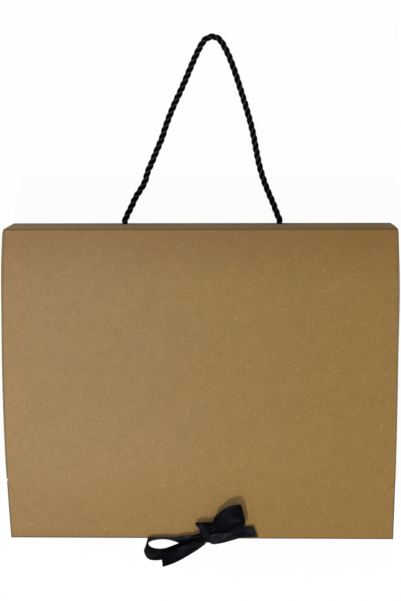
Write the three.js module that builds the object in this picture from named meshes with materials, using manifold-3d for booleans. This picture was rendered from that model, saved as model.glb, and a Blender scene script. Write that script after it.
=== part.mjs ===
// A flat gift box of brown corrugated board: a tray with rolled walls, a hinged lid with side rims
// and a tuck flap, a twisted rope handle through the hinge wall, and a satin ribbon bow at the
// lid's free edge.
// The box lies on its back. Millimetres, +Z up, +X along the hinge, +Y towards the hinge wall.
// The origin is the centre of the tray's underside.

import * as THREE from "three";
import { mergeVertices } from "three/addons/utils/BufferGeometryUtils.js";
import { RoundedBoxGeometry } from "three/addons/geometries/RoundedBoxGeometry.js";
import Module from "manifold-3d";

const wasm = await Module();
wasm.setup();

// Sizes of the box as a whole
const boxWidth = 350;
const boxLength = 285;
const boxDepth = 50;
const board = 1.5;
const gap = 0.3;
const foldRadius = 1.2;
const overrun = 2;

// Sizes of the lid
const bellyLeft = 4.2;
const bellyRight = 1.8;
const rimLength = 230;
const rimDepth = 45;
const rimEndSlant = 22;
const rimHingeTaper = 0.8;
const reliefRadius = 1.2;
const flapDepth = 28;
const flapSideInset = 7;
const flapCornerRadius = 16;
const flapNotchRadius = 11;

// Sizes of the tray
const cornerFlapLength = 72;
const cornerFlapTaper = 9;
const lockTabWidth = 30;
const lockTabShoulder = 2.5;
const sideTabSpacing = 150;
const frontTabSpacing = 190;

// Sizes of the rope handle
const ropeDiameter = 5;
const ropeHoleSpacing = 142.4;
const ropeOffset = 0.7;
const ropeHoleHeight = 7;
const knotLength = 12;
const knotTail = 7;

// Sizes of the ribbon
const ribbonWidth = 18;
const ribbonThickness = 0.6;
const bowThickness = 0.8;
const bowOffset = 3;
const bowKnotWidth = 12.4;
const bowKnotHeight = 8;
const bowKnotRounding = 3;
const lidRibbonHold = 40;
const trayRibbonHold = 28;
const slitDrop = 7.7;

// Facets
const bellyFacets = 12;
const foldFacets = 3;
const holeFacets = 20;
const ropeFacets = 8;
const ropeSteps = 36;
const knotFacets = 16;
const cornerFacets = 4;
const ribbonFacets = 5;

// Places that follow from the sizes
const halfWidth = boxWidth / 2;
const halfLength = boxLength / 2;
const lidUnderside = boxDepth - board;
const hemUnderside = lidUnderside - board;
const trayHalfWidth = halfWidth - board - gap;
const hingeWallInside = halfLength - board;
const frontWallInside = -halfLength + board;
const sideTop = lidUnderside - gap;
const frontTop = hemUnderside - gap;
const slitHeight = frontTop - slitDrop;
const cornerFlapOutside = trayHalfWidth - board - gap;
const sideInside = cornerFlapOutside - 2 * board - gap;
const frontLayerFace = frontWallInside + ribbonThickness + gap;
const frontInside = frontLayerFace + board;
const ropeRadius = ropeDiameter / 2;
const flapTop = hemUnderside - gap;
const flapDrop = lidUnderside - flapTop + flapDepth;
// The flap's lower edge swings past the front wall's inner layer as the lid opens.
const flapFace = halfLength - Math.sqrt((halfLength - frontInside - gap) ** 2 - flapDrop ** 2);
const hemWidth = flapFace + board + halfLength;
const rimFront = halfLength - rimLength;

const kraft = new THREE.MeshStandardMaterial({ color: 0x9d7d52, roughness: 0.9, metalness: 0 });
const kraftInside = new THREE.MeshStandardMaterial({ color: 0xa98a60, roughness: 0.95, metalness: 0 });
const ropeBlack = new THREE.MeshStandardMaterial({ color: 0x161618, roughness: 0.8, metalness: 0 });
const satinBlack = new THREE.MeshStandardMaterial({ color: 0x15161b, roughness: 0.4, metalness: 0 });

const box = new THREE.Group();

function add(name, geometry, material) {
  const mesh = new THREE.Mesh(geometry, material);
  mesh.name = name;
  box.add(mesh);
}

// Solids and cuts

function solidOf(geometry) {
  const bare = new THREE.BufferGeometry();
  bare.setAttribute("position", geometry.getAttribute("position"));
  bare.setIndex(geometry.index);
  const merged = mergeVertices(bare, 1e-4);
  return new wasm.Manifold(
    new wasm.Mesh({
      numProp: 3,
      vertProperties: merged.attributes.position.array,
      triVerts: new Uint32Array(merged.index.array),
    }),
  );
}

function geometryOf(solid) {
  const { vertProperties, triVerts } = solid.getMesh();
  const geometry = new THREE.BufferGeometry();
  geometry.setAttribute("position", new THREE.BufferAttribute(vertProperties, 3));
  geometry.setIndex(new THREE.BufferAttribute(triVerts, 1));
  return geometry;
}

function cut(geometry, cutters) {
  const whole = solidOf(geometry);
  const cutSolids = cutters.map(solidOf);
  return geometryOf(cutSolids.reduce((rest, cutter) => rest.subtract(cutter), whole));
}

function join(geometry, extras) {
  const whole = solidOf(geometry);
  return geometryOf(extras.map(solidOf).reduce((sum, extra) => sum.add(extra), whole));
}

function intersect(geometry, other) {
  return geometryOf(solidOf(geometry).intersect(solidOf(other)));
}

// A block between two corners
function block(low, high) {
  const size = low.map((value, axis) => high[axis] - value);
  const middle = low.map((value, axis) => (value + high[axis]) / 2);
  return new THREE.BoxGeometry(...size).translate(...middle);
}

// An outline of [a, b] points pushed straight along one axis
function prism(outline, axis, from, to) {
  const shape = new THREE.Shape(outline.map(([a, b]) => new THREE.Vector2(a, b)));
  const depth = to - from;
  const settings = { depth, bevelEnabled: false, curveSegments: cornerFacets };
  const geometry = new THREE.ExtrudeGeometry(shape, settings);
  if (axis === "x") {
    // [a, b] is [y, z]
    geometry.rotateZ(Math.PI / 2).rotateY(Math.PI / 2);
    return geometry.translate(from, 0, 0);
  }
  if (axis === "y") {
    // [a, b] is [x, z]
    return geometry.rotateX(Math.PI / 2).translate(0, to, 0);
  }
  return geometry.translate(0, 0, from);
}

// A round cutter or pin along Y or Z
function rod(radius, axis, centre, length) {
  const geometry = new THREE.CylinderGeometry(radius, radius, length, holeFacets);
  if (axis === "z") geometry.rotateX(Math.PI / 2);
  return geometry.translate(...centre);
}

// A flat panel whose edges round over at one face, as a crease does. The outline lies in XY.
function foldedPanel(outline, flatFace, foldFace) {
  const points = outline.map(([x, y]) => new THREE.Vector2(x, y));
  const reachX = Math.max(...points.map((point) => Math.abs(point.x)));
  const reachY = Math.max(...points.map((point) => Math.abs(point.y)));
  const radius = Math.min(foldRadius, board - gap);
  const towards = Math.sign(foldFace - flatFace);
  const rings = [{ inset: 0, z: flatFace }];
  for (let step = 0; step <= foldFacets; step += 1) {
    const angle = (step / foldFacets) * (Math.PI / 2);
    rings.push({
      inset: radius * (1 - Math.cos(angle)),
      z: foldFace - towards * radius * (1 - Math.sin(angle)),
    });
  }
  const positions = [];
  for (const { inset, z } of rings) {
    for (const point of points) {
      positions.push(point.x * (1 - inset / reachX), point.y * (1 - inset / reachY), z);
    }
  }
  const count = points.length;
  const faces = [];
  const addFace = (a, b, c) => faces.push(...(towards > 0 ? [a, b, c] : [a, c, b]));
  for (let ring = 0; ring + 1 < rings.length; ring += 1) {
    for (let index = 0; index < count; index += 1) {
      const next = (index + 1) % count;
      const below = ring * count;
      const above = below + count;
      addFace(below + index, below + next, above + next);
      addFace(below + index, above + next, above + index);
    }
  }
  const top = (rings.length - 1) * count;
  for (const [a, b, c] of THREE.ShapeUtils.triangulateShape(points, [])) {
    addFace(top + a, top + b, top + c);
    addFace(a, c, b);
  }
  const geometry = new THREE.BufferGeometry();
  geometry.setAttribute("position", new THREE.Float32BufferAttribute(positions, 3));
  geometry.setIndex(faces);
  return geometry;
}

function rectangle(halfX, halfY) {
  return [
    [-halfX, -halfY],
    [halfX, -halfY],
    [halfX, halfY],
    [-halfX, halfY],
  ];
}

// The lid's side edges belly outwards in one shallow arc between its corners.

function sideEdge(y, belly) {
  return halfWidth + belly * (1 - (y / halfLength) ** 2);
}

function bellyPoints(belly, from, to, inset) {
  const points = [];
  for (let step = 0; step <= bellyFacets; step += 1) {
    const y = from + ((to - from) * step) / bellyFacets;
    points.push([sideEdge(y, belly) - inset, y]);
  }
  return points;
}

// The tray

function lockTabs(spacing) {
  return [-spacing / 2, spacing / 2].map((centre) => ({
    from: centre - lockTabWidth / 2,
    to: centre + lockTabWidth / 2,
  }));
}

function tabOutline({ from, to }) {
  return [
    [from, board + gap + overrun],
    [from, board + gap],
    [from + lockTabShoulder, gap],
    [to - lockTabShoulder, gap],
    [to, board + gap],
    [to, board + gap + overrun],
  ];
}

function backPanel() {
  const slots = [];
  for (const side of [-1, 1]) {
    for (const { from, to } of lockTabs(sideTabSpacing)) {
      const near = side * (sideInside - gap);
      const far = side * (sideInside + board + gap);
      slots.push(
        block(
          [Math.min(near, far), from - gap, -overrun],
          [Math.max(near, far), to + gap, board + overrun],
        ),
      );
    }
  }
  for (const { from, to } of lockTabs(frontTabSpacing)) {
    slots.push(
      block(
        [from - gap, frontLayerFace - gap, -overrun],
        [to + gap, frontInside + gap, board + overrun],
      ),
    );
  }
  return cut(foldedPanel(rectangle(trayHalfWidth, halfLength), board, 0), slots);
}

function hingeWall() {
  const wall = block([-trayHalfWidth, hingeWallInside, board], [trayHalfWidth, halfLength, sideTop]);
  const holes = [-1, 1].map((side) =>
    rod(
      ropeRadius + gap,
      "y",
      [ropeOffset + (side * ropeHoleSpacing) / 2, halfLength, ropeHoleHeight],
      2 * (board + overrun),
    ),
  );
  return cut(wall, holes);
}

function frontWallOuter() {
  const wallTop = frontTop - board - gap;
  const wall = block([-trayHalfWidth, -halfLength, board], [trayHalfWidth, frontWallInside, wallTop]);
  const slitHalf = ribbonWidth / 2 + gap;
  const slit = block(
    [bowOffset - slitHalf, -halfLength - overrun, slitHeight - ribbonThickness / 2 - gap],
    [bowOffset + slitHalf, frontWallInside + overrun, slitHeight + ribbonThickness / 2 + gap],
  );
  return cut(wall, [slit]);
}

// The rolled front wall: a narrow top over the outer wall, and a leg down to its lock tabs
function frontWallInner() {
  const section = [
    [-halfLength, frontTop - board],
    [frontLayerFace, frontTop - board],
    [frontLayerFace, board + gap],
    [frontInside, board + gap],
    [frontInside, frontTop],
    [-halfLength, frontTop],
  ];
  const half = sideInside - gap;
  const tabs = lockTabs(frontTabSpacing).map((tab) =>
    prism(tabOutline(tab), "y", frontLayerFace, frontInside),
  );
  return join(prism(section, "x", -half, half), tabs);
}

function sideWallOuter(side) {
  const outline = [
    [frontWallInside + gap, board],
    [hingeWallInside - gap, board],
    [hingeWallInside - gap, sideTop - board - gap],
    [frontWallInside + gap, frontTop - gap],
  ];
  const edges = [side * (trayHalfWidth - board), side * trayHalfWidth];
  return prism(outline, "x", Math.min(...edges), Math.max(...edges));
}

function sideWallInner(side) {
  const section = [
    [side * trayHalfWidth, sideTop - board],
    [side * (sideInside + board), sideTop - board],
    [side * (sideInside + board), board + gap],
    [side * sideInside, board + gap],
    [side * sideInside, sideTop],
    [side * trayHalfWidth, sideTop],
  ];
  const edges = [side * sideInside, side * (sideInside + board)];
  const tabs = lockTabs(sideTabSpacing).map((tab) =>
    prism(tabOutline(tab), "x", Math.min(...edges), Math.max(...edges)),
  );
  return join(prism(section, "y", frontInside + gap, hingeWallInside - gap), tabs);
}

// A dust flap lies between the layers of a side wall, with its free end cut back.
function cornerFlap(side, end) {
  const root = end > 0 ? hingeWallInside - gap : frontWallInside + gap;
  const tip = root - end * cornerFlapLength;
  const top = Math.min(sideTop, frontTop) - board - gap;
  const outline = [
    [root, board + gap],
    [tip + end * cornerFlapTaper, board + gap],
    [tip, board + gap + cornerFlapTaper],
    [tip, top - cornerFlapTaper],
    [tip + end * cornerFlapTaper, top],
    [root, top],
  ];
  const edges = [side * (cornerFlapOutside - board), side * cornerFlapOutside];
  return prism(outline, "x", Math.min(...edges), Math.max(...edges));
}

// The lid

function lidPanel() {
  const right = bellyPoints(bellyRight, -halfLength, halfLength, 0);
  const left = bellyPoints(bellyLeft, halfLength, -halfLength, 0).map(([x, y]) => [-x, y]);
  const panel = foldedPanel([...right, ...left], lidUnderside, boxDepth);
  const reliefs = [
    [sideEdge(rimFront, bellyRight), rimFront, lidUnderside],
    [-sideEdge(rimFront, bellyLeft), rimFront, lidUnderside],
  ].map((centre) => rod(reliefRadius, "z", centre, 2 * (board + overrun)));
  return cut(panel, reliefs);
}

// A rim hangs from the lid's side edge and follows its belly. Its front end is cut on a slant.
function lidRim(side, belly) {
  const back = halfLength - gap;
  const low = boxDepth - rimDepth;
  const outer = bellyPoints(belly, rimFront, back, 0);
  const inner = bellyPoints(belly, back, rimFront, board);
  const plan = [...outer, ...inner].map(([x, y]) => [side * x, y]);
  const outline = [
    [rimFront, sideTop],
    [rimFront + rimEndSlant, low],
    [back - rimHingeTaper, low],
    [back, sideTop],
  ];
  const reach = side * (sideEdge(0, belly) + overrun);
  const edges = [0, reach];
  return intersect(
    prism(plan, "z", low, sideTop),
    prism(outline, "x", Math.min(...edges), Math.max(...edges)),
  );
}

// A narrow strip folded back under the free edge, which sets the tuck flap behind the front wall
function lidFrontHem() {
  const half = sideInside - gap;
  const hem = block([-half, -halfLength, hemUnderside], [half, -halfLength + hemWidth, lidUnderside]);
  const grooveHalf = ribbonWidth / 2 + gap;
  const groove = block(
    [bowOffset - grooveHalf, -halfLength - overrun, lidUnderside - ribbonThickness - gap],
    [bowOffset + grooveHalf, -halfLength + hemWidth + overrun, lidUnderside + overrun],
  );
  return cut(hem, [groove]);
}

function lidTuckFlap() {
  const half = sideInside - flapSideInset;
  const low = flapTop - flapDepth;
  const radius = Math.min(flapCornerRadius, flapDepth);
  const notch = Math.min(flapNotchRadius, flapDepth / 2);
  const shape = new THREE.Shape();
  shape.moveTo(-half, flapTop);
  shape.lineTo(-half, low + radius);
  shape.absarc(-half + radius, low + radius, radius, Math.PI, 1.5 * Math.PI, false);
  shape.lineTo(-notch, low);
  shape.absarc(0, low, notch, Math.PI, 0, true);
  shape.lineTo(half - radius, low);
  shape.absarc(half - radius, low + radius, radius, 1.5 * Math.PI, 2 * Math.PI, false);
  shape.lineTo(half, flapTop);
  const points = shape.getPoints(2 * cornerFacets).map((point) => [point.x, point.y]);
  return prism(points, "y", flapFace, flapFace + board);
}

// The rope handle

// The rope leaves the left hole, drops to the table, lies in a pointed arch and comes back.
const ropeRoute = [
  [-70.5, 142.9, 7],
  [-70.2, 146.8, 6.8],
  [-67.4, 152.4, 5.2],
  [-63.6, 158.9, 3.4],
  [-60.5, 165.8, 2.7],
  [-56.6, 172, 2.6],
  [-52.8, 178, 2.6],
  [-50.4, 184, 2.6],
  [-48.8, 190, 2.6],
  [-44.9, 198.6, 2.6],
  [-40.3, 209.5, 2.6],
  [-35.6, 220.4, 2.6],
  [-32, 231.2, 2.6],
  [-27.9, 242, 2.6],
  [-23.2, 252.8, 2.6],
  [-18, 263.6, 2.6],
  [-13.2, 274.3, 2.6],
  [-8.6, 285, 2.6],
  [-3.8, 295.6, 2.6],
  [1, 306, 2.6],
  [10.2, 312, 2.6],
  [19, 306.2, 2.6],
  [24.6, 295.5, 2.6],
  [28.9, 284.8, 2.6],
  [32.6, 274.1, 2.6],
  [36, 263.4, 2.6],
  [39.4, 252.6, 2.6],
  [42.6, 241.8, 2.6],
  [45.6, 231, 2.6],
  [48, 220.1, 2.6],
  [50, 209.3, 2.6],
  [52.2, 198.4, 2.6],
  [55.1, 187.5, 2.6],
  [58.9, 176.5, 2.6],
  [62.8, 167, 2.7],
  [65.9, 160, 3.5],
  [68.7, 153.5, 5.2],
  [71.5, 146.8, 6.8],
  [71.9, 142.9, 7],
];

function ropeHandle() {
  const route = new THREE.CatmullRomCurve3(ropeRoute.map((point) => new THREE.Vector3(...point)));
  const section = new THREE.Shape();
  section.absarc(0, 0, ropeRadius, 0, 2 * Math.PI, false);
  return new THREE.ExtrudeGeometry(section, {
    steps: ropeSteps,
    extrudePath: route,
    bevelEnabled: false,
    curveSegments: ropeFacets,
  });
}

// A stopper knot inside the hinge wall, with the rope's stub through the hole and its short tail
function ropeKnot(side) {
  const knotRadius = ropeHoleHeight - board - gap;
  const shoulder = (knotRadius + ropeRadius) / 2;
  const back = -gap - knotLength;
  const profile = [
    [0, back - knotTail],
    [ropeRadius, back - knotTail],
    [ropeRadius, back],
    [shoulder, back],
    [knotRadius, back + knotLength / 4],
    [knotRadius, -gap - knotLength / 4],
    [shoulder, -gap],
    [ropeRadius, -gap],
    [ropeRadius, board],
    [0, board],
  ].map(([radius, along]) => new THREE.Vector2(radius, along));
  const knot = new THREE.LatheGeometry(profile, knotFacets);
  const x = ropeOffset + (side * ropeHoleSpacing) / 2;
  return knot.translate(x, hingeWallInside, ropeHoleHeight);
}

// The ribbon

// The lid's ribbon runs out from under the lid and turns up round its edge.
function ribbonLid() {
  const low = lidUnderside - ribbonThickness;
  const inside = -halfLength - gap;
  const section = [
    [-halfLength + lidRibbonHold, lidUnderside],
    [inside, lidUnderside],
    [inside, boxDepth],
    [inside - ribbonThickness, boxDepth],
    [inside - ribbonThickness, low],
    [-halfLength + lidRibbonHold, low],
  ];
  return prism(section, "x", bowOffset - ribbonWidth / 2, bowOffset + ribbonWidth / 2);
}

// The tray's ribbon is glued to the front wall's inside, leaves by the slit and turns up to the bow.
function ribbonTray() {
  const slitLow = slitHeight - ribbonThickness / 2;
  const slitHigh = slitHeight + ribbonThickness / 2;
  const inner = frontWallInside;
  const outer = -halfLength - 2 * gap - ribbonThickness;
  const section = [
    [inner, slitLow - trayRibbonHold],
    [inner + ribbonThickness, slitLow - trayRibbonHold],
    [inner + ribbonThickness, slitHigh],
    [outer, slitHigh],
    [outer, boxDepth],
    [outer - ribbonThickness, boxDepth],
    [outer - ribbonThickness, slitLow],
    [inner, slitLow],
  ];
  return prism(section, "x", bowOffset - ribbonWidth / 2, bowOffset + ribbonWidth / 2);
}

// A strip of ribbon led through its stations. A station gives the middle of the strip as shares of
// the ribbon's width from the lid's edge at the bow, the direction that its width lies in, and
// how far it is spread, as a share of the width.
function ribbonStrip(stationShares) {
  const origin = new THREE.Vector3(bowOffset, -halfLength, boxDepth);
  const toCurve = (pick) =>
    new THREE.CatmullRomCurve3(stationShares.map((station) => new THREE.Vector3(...pick(station))));
  const middles = toCurve(({ at }) => at);
  const lays = toCurve(({ lay }) => lay);
  const spreads = toCurve(({ spread }) => [spread, 0, 0]);
  const steps = (stationShares.length - 1) * ribbonFacets;
  const positions = [];
  for (let step = 0; step <= steps; step += 1) {
    const t = step / steps;
    const middle = middles.getPoint(t).multiplyScalar(ribbonWidth).add(origin);
    const lay = lays.getPoint(t).normalize();
    const normal = middles.getTangent(t).cross(lay).normalize();
    const halfSpread = (spreads.getPoint(t).x * ribbonWidth) / 2;
    for (const [across, up] of [
      [-1, -1],
      [1, -1],
      [1, 1],
      [-1, 1],
    ]) {
      const corner = middle
        .clone()
        .addScaledVector(lay, across * halfSpread)
        .addScaledVector(normal, (up * bowThickness) / 2);
      positions.push(...corner.toArray());
    }
  }
  const faces = [];
  for (let step = 0; step < steps; step += 1) {
    for (let index = 0; index < 4; index += 1) {
      const near = 4 * step + index;
      const nearNext = 4 * step + ((index + 1) % 4);
      faces.push(near, nearNext, nearNext + 4, near, nearNext + 4, near + 4);
    }
  }
  const last = 4 * steps;
  faces.push(0, 2, 1, 0, 3, 2, last, last + 1, last + 2, last, last + 2, last + 3);
  const geometry = new THREE.BufferGeometry();
  geometry.setAttribute("position", new THREE.Float32BufferAttribute(positions, 3));
  geometry.setIndex(faces);
  return geometry;
}

// The bow's knot sits across the lid's edge. The loops and tails leave its two sides.
const knotPlaceShare = 0.38;
const knotEdgeShare = (bowKnotWidth / 2 + gap + bowThickness / 2) / ribbonWidth;

// The left loop hangs over the edge with its eye open to above.
const loopLeftShares = [
  { at: [-knotEdgeShare, 0.19, 0.1], lay: [0, 1, 0], spread: 0.45 },
  { at: [-0.85, -0.07, 0.14], lay: [0, 0.93, 0.35], spread: 0.64 },
  { at: [-1.48, -0.18, -0.24], lay: [0.03, 0.53, 0.85], spread: 0.94 },
  { at: [-2.2, -0.14, -0.25], lay: [0.04, 0.35, 0.93], spread: 0.98 },
  { at: [-3.07, -0.47, -0.25], lay: [0.15, 0.45, 0.88], spread: 1 },
  { at: [-2.81, -0.82, -0.18], lay: [0.1, 0.85, 0.52], spread: 1 },
  { at: [-2.17, -0.87, -0.17], lay: [0.05, 0.8, 0.6], spread: 1 },
  { at: [-1.28, -0.53, -0.03], lay: [0, 0.8, 0.6], spread: 1 },
  { at: [-knotEdgeShare, 0.03, 0.23], lay: [0, 0.85, 0.5], spread: 0.5 },
];

// The right loop stands up off the lid, with its two layers one over the other.
const loopRightShares = [
  { at: [knotEdgeShare, 0.54, 0.17], lay: [0, 1, 0], spread: 0.45 },
  { at: [0.59, 0.7, 0.18], lay: [-0.17, 0.98, 0], spread: 0.74 },
  { at: [1.08, 0.84, 0.16], lay: [-0.1, 0.99, -0.03], spread: 0.95 },
  { at: [1.55, 1, 0.16], lay: [-0.13, 0.99, -0.02], spread: 0.98 },
  { at: [1.9, 1.36, 0.3], lay: [-0.2, 0.98, 0.03], spread: 1 },
  { at: [1.61, 1.47, 0.49], lay: [-0.14, 0.99, 0.02], spread: 0.92 },
  { at: [1.18, 1.29, 0.49], lay: [-0.18, 0.98, 0.02], spread: 0.95 },
  { at: [0.68, 0.98, 0.44], lay: [-0.28, 0.96, 0.03], spread: 0.75 },
  { at: [knotEdgeShare, 0.72, 0.36], lay: [0, 1, 0], spread: 0.45 },
];

const tailLeftShares = [
  { at: [-knotEdgeShare, -0.09, 0.3], lay: [0, 0.85, 0.5], spread: 0.67 },
  { at: [-0.94, -0.47, 0.28], lay: [0, 0.85, 0.52], spread: 0.89 },
  { at: [-1.61, -0.86, 0.14], lay: [0, 0.88, 0.47], spread: 0.97 },
  { at: [-2.18, -1.05, 0.08], lay: [-0.06, 0.93, 0.36], spread: 1 },
];

const tailRightShares = [
  { at: [knotEdgeShare, 0.11, 0.1], lay: [0, 1, 0], spread: 0.5 },
  { at: [0.52, 0.09, 0.08], lay: [0, 1, 0.03], spread: 0.7 },
  { at: [0.89, 0.16, 0.06], lay: [-0.03, 0.99, 0.03], spread: 0.74 },
  { at: [1.36, 0.26, 0.06], lay: [-0.07, 0.99, 0.03], spread: 0.66 },
  { at: [1.87, 0.35, 0.08], lay: [-0.11, 0.99, 0.09], spread: 0.56 },
  { at: [2.54, 0.41, 0.1], lay: [-0.36, 0.92, 0.16], spread: 0.58 },
];

function bowKnot() {
  const knot = new RoundedBoxGeometry(
    bowKnotWidth,
    ribbonWidth,
    bowKnotHeight,
    cornerFacets,
    Math.min(bowKnotRounding, bowKnotHeight / 2 - gap),
  );
  const middleY = -halfLength + knotPlaceShare * ribbonWidth;
  return knot.translate(bowOffset, middleY, boxDepth + gap + bowKnotHeight / 2);
}

add("back_panel", backPanel(), kraft);
add("hinge_wall", hingeWall(), kraft);
add("front_wall_outer", frontWallOuter(), kraft);
add("front_wall_inner", frontWallInner(), kraftInside);
add("lid_panel", lidPanel(), kraft);
add("lid_rim_left", lidRim(-1, bellyLeft), kraft);
add("lid_rim_right", lidRim(1, bellyRight), kraft);
add("lid_front_hem", lidFrontHem(), kraftInside);
add("lid_tuck_flap", lidTuckFlap(), kraftInside);
for (const [sideName, side] of [
  ["left", -1],
  ["right", 1],
]) {
  add(`side_wall_outer_${sideName}`, sideWallOuter(side), kraft);
  add(`side_wall_inner_${sideName}`, sideWallInner(side), kraftInside);
  add(`corner_flap_hinge_${sideName}`, cornerFlap(side, 1), kraftInside);
  add(`corner_flap_front_${sideName}`, cornerFlap(side, -1), kraftInside);
  add(`rope_knot_${sideName}`, ropeKnot(side), ropeBlack);
}
add("rope_handle", ropeHandle(), ropeBlack);
add("ribbon_lid", ribbonLid(), satinBlack);
add("ribbon_tray", ribbonTray(), satinBlack);
add("bow_knot", bowKnot(), satinBlack);
add("bow_loop_left", ribbonStrip(loopLeftShares), satinBlack);
add("bow_loop_right", ribbonStrip(loopRightShares), satinBlack);
add("bow_tail_left", ribbonStrip(tailLeftShares), satinBlack);
add("bow_tail_right", ribbonStrip(tailRightShares), satinBlack);

export default box;
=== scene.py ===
"""A flat gift box of brown kraft board with a twisted rope handle and a black satin bow.

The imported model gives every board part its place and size. This script dresses the board, rolls
the liner round the creases at the lid's sides, and makes the rope, its stopper knots and the satin
ribbon as the soft goods that they are. Lengths are in metres, with +X along the hinge, +Y towards
the hinge wall and +Z up.
"""

import logging
import math
from dataclasses import dataclass
from enum import Enum

import bmesh
import bpy
from mathutils import Matrix, Vector, noise


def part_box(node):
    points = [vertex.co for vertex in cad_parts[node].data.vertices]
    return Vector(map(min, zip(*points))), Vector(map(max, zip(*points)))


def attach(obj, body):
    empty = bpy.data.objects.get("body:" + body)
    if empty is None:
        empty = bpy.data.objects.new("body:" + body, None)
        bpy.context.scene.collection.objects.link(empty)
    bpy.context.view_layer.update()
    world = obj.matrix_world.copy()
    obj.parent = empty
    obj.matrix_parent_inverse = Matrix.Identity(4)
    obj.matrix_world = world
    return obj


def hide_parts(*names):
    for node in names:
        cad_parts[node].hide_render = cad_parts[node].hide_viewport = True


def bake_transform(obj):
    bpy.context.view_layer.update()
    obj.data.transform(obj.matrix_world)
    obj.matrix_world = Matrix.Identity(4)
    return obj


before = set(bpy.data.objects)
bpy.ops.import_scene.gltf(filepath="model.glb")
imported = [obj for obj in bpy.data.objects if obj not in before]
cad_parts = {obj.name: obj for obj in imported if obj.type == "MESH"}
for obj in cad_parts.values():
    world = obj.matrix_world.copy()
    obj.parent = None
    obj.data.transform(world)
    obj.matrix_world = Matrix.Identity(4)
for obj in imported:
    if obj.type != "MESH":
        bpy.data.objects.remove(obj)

LOG = logging.getLogger("gift_box")
MM = 0.001

# Sizes that several parts of the box share
HALF_WIDTH = 175 * MM
HALF_LENGTH = 142.5 * MM
LID_TOP = 50 * MM
BOARD = 1.5 * MM
BELLY_LEFT = 4.2 * MM
BELLY_RIGHT = 1.8 * MM
RIBBON_WIDTH = 18 * MM

Point = tuple[float, float, float]
Colour = tuple[float, float, float]

WHITE: Colour = (1.0, 1.0, 1.0)
FULL_TURN = 2 * math.pi


def srgb(red: int, green: int, blue: int) -> Colour:
    """Turn a colour as it looks on screen into linear light.

    Args:
        red: the red channel, 0 to 255.
        green: the green channel.
        blue: the blue channel.

    Returns:
        The colour in linear light.
    """

    def linear(level: int) -> float:
        """Turn one channel into linear light."""
        share = level / 255
        return share / 12.92 if share <= 0.04045 else ((share + 0.055) / 1.055) ** 2.4

    return linear(red), linear(green), linear(blue)


def add_object(name: str, data: bpy.types.ID) -> bpy.types.Object:
    """Put a mesh, a curve, a camera or a lamp into the scene.

    Args:
        name: the object's name.
        data: what the object holds.

    Returns:
        The object, at the origin.
    """
    thing = bpy.data.objects.new(name, data)
    bpy.context.scene.collection.objects.link(thing)
    return thing


# Node building


class Value:
    """A number that varies over a piece, held as a node socket, with ordinary arithmetic."""

    def __init__(self, tree: bpy.types.NodeTree, socket: bpy.types.NodeSocket) -> None:
        """Hold a socket of a node tree."""
        self.tree = tree
        self.socket = socket

    def maths(self, operation: str, *others: "Value | float") -> "Value":
        """Add a Math node with this value as its first input."""
        return Value.combine(self.tree, operation, self, *others)

    @staticmethod
    def combine(
        tree: bpy.types.NodeTree, operation: str, *terms: "Value | float", clamp: bool = False
    ) -> "Value":
        """Add a Math node to a tree.

        Args:
            tree: the node tree that the node goes into.
            operation: the Math node's operation.
            terms: the node's inputs in order, values or plain numbers.
            clamp: whether the result is kept between 0 and 1.

        Returns:
            The node's result.
        """
        node = tree.nodes.new("ShaderNodeMath")
        node.operation = operation
        node.use_clamp = clamp
        for index, term in enumerate(terms):
            if isinstance(term, Value):
                tree.links.new(term.socket, node.inputs[index])
            else:
                node.inputs[index].default_value = term
        return Value(tree, node.outputs[0])

    def __add__(self, other: "Value | float") -> "Value":
        """Add."""
        return self.maths("ADD", other)

    __radd__ = __add__

    def __mul__(self, other: "Value | float") -> "Value":
        """Multiply."""
        return self.maths("MULTIPLY", other)

    __rmul__ = __mul__

    def __sub__(self, other: "Value | float") -> "Value":
        """Subtract another value from this one."""
        return self.maths("SUBTRACT", other)

    def __rsub__(self, other: float) -> "Value":
        """Subtract this value from a number."""
        return Value.combine(self.tree, "SUBTRACT", other, self)

    def __truediv__(self, other: "Value | float") -> "Value":
        """Divide this value by another."""
        return self.maths("DIVIDE", other)

    def __rtruediv__(self, other: float) -> "Value":
        """Divide a number by this value."""
        return Value.combine(self.tree, "DIVIDE", other, self)

    def __abs__(self) -> "Value":
        """Drop the sign."""
        return self.maths("ABSOLUTE")

    def least(self, other: "Value | float") -> "Value":
        """Take the smaller of two values."""
        return self.maths("MINIMUM", other)

    def most(self, other: "Value | float") -> "Value":
        """Take the larger of two values."""
        return self.maths("MAXIMUM", other)

    def sine(self) -> "Value":
        """Take the sine of an angle in radians."""
        return self.maths("SINE")

    def over(self, low: float, high: float) -> "Value":
        """Rise smoothly from 0 at low to 1 at high, or fall where low is the larger."""
        share = Value.combine(self.tree, "DIVIDE", self - low, high - low, clamp=True)
        return share * share * (3.0 - 2.0 * share)


Axes = tuple[Value, Value, Value]


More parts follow.
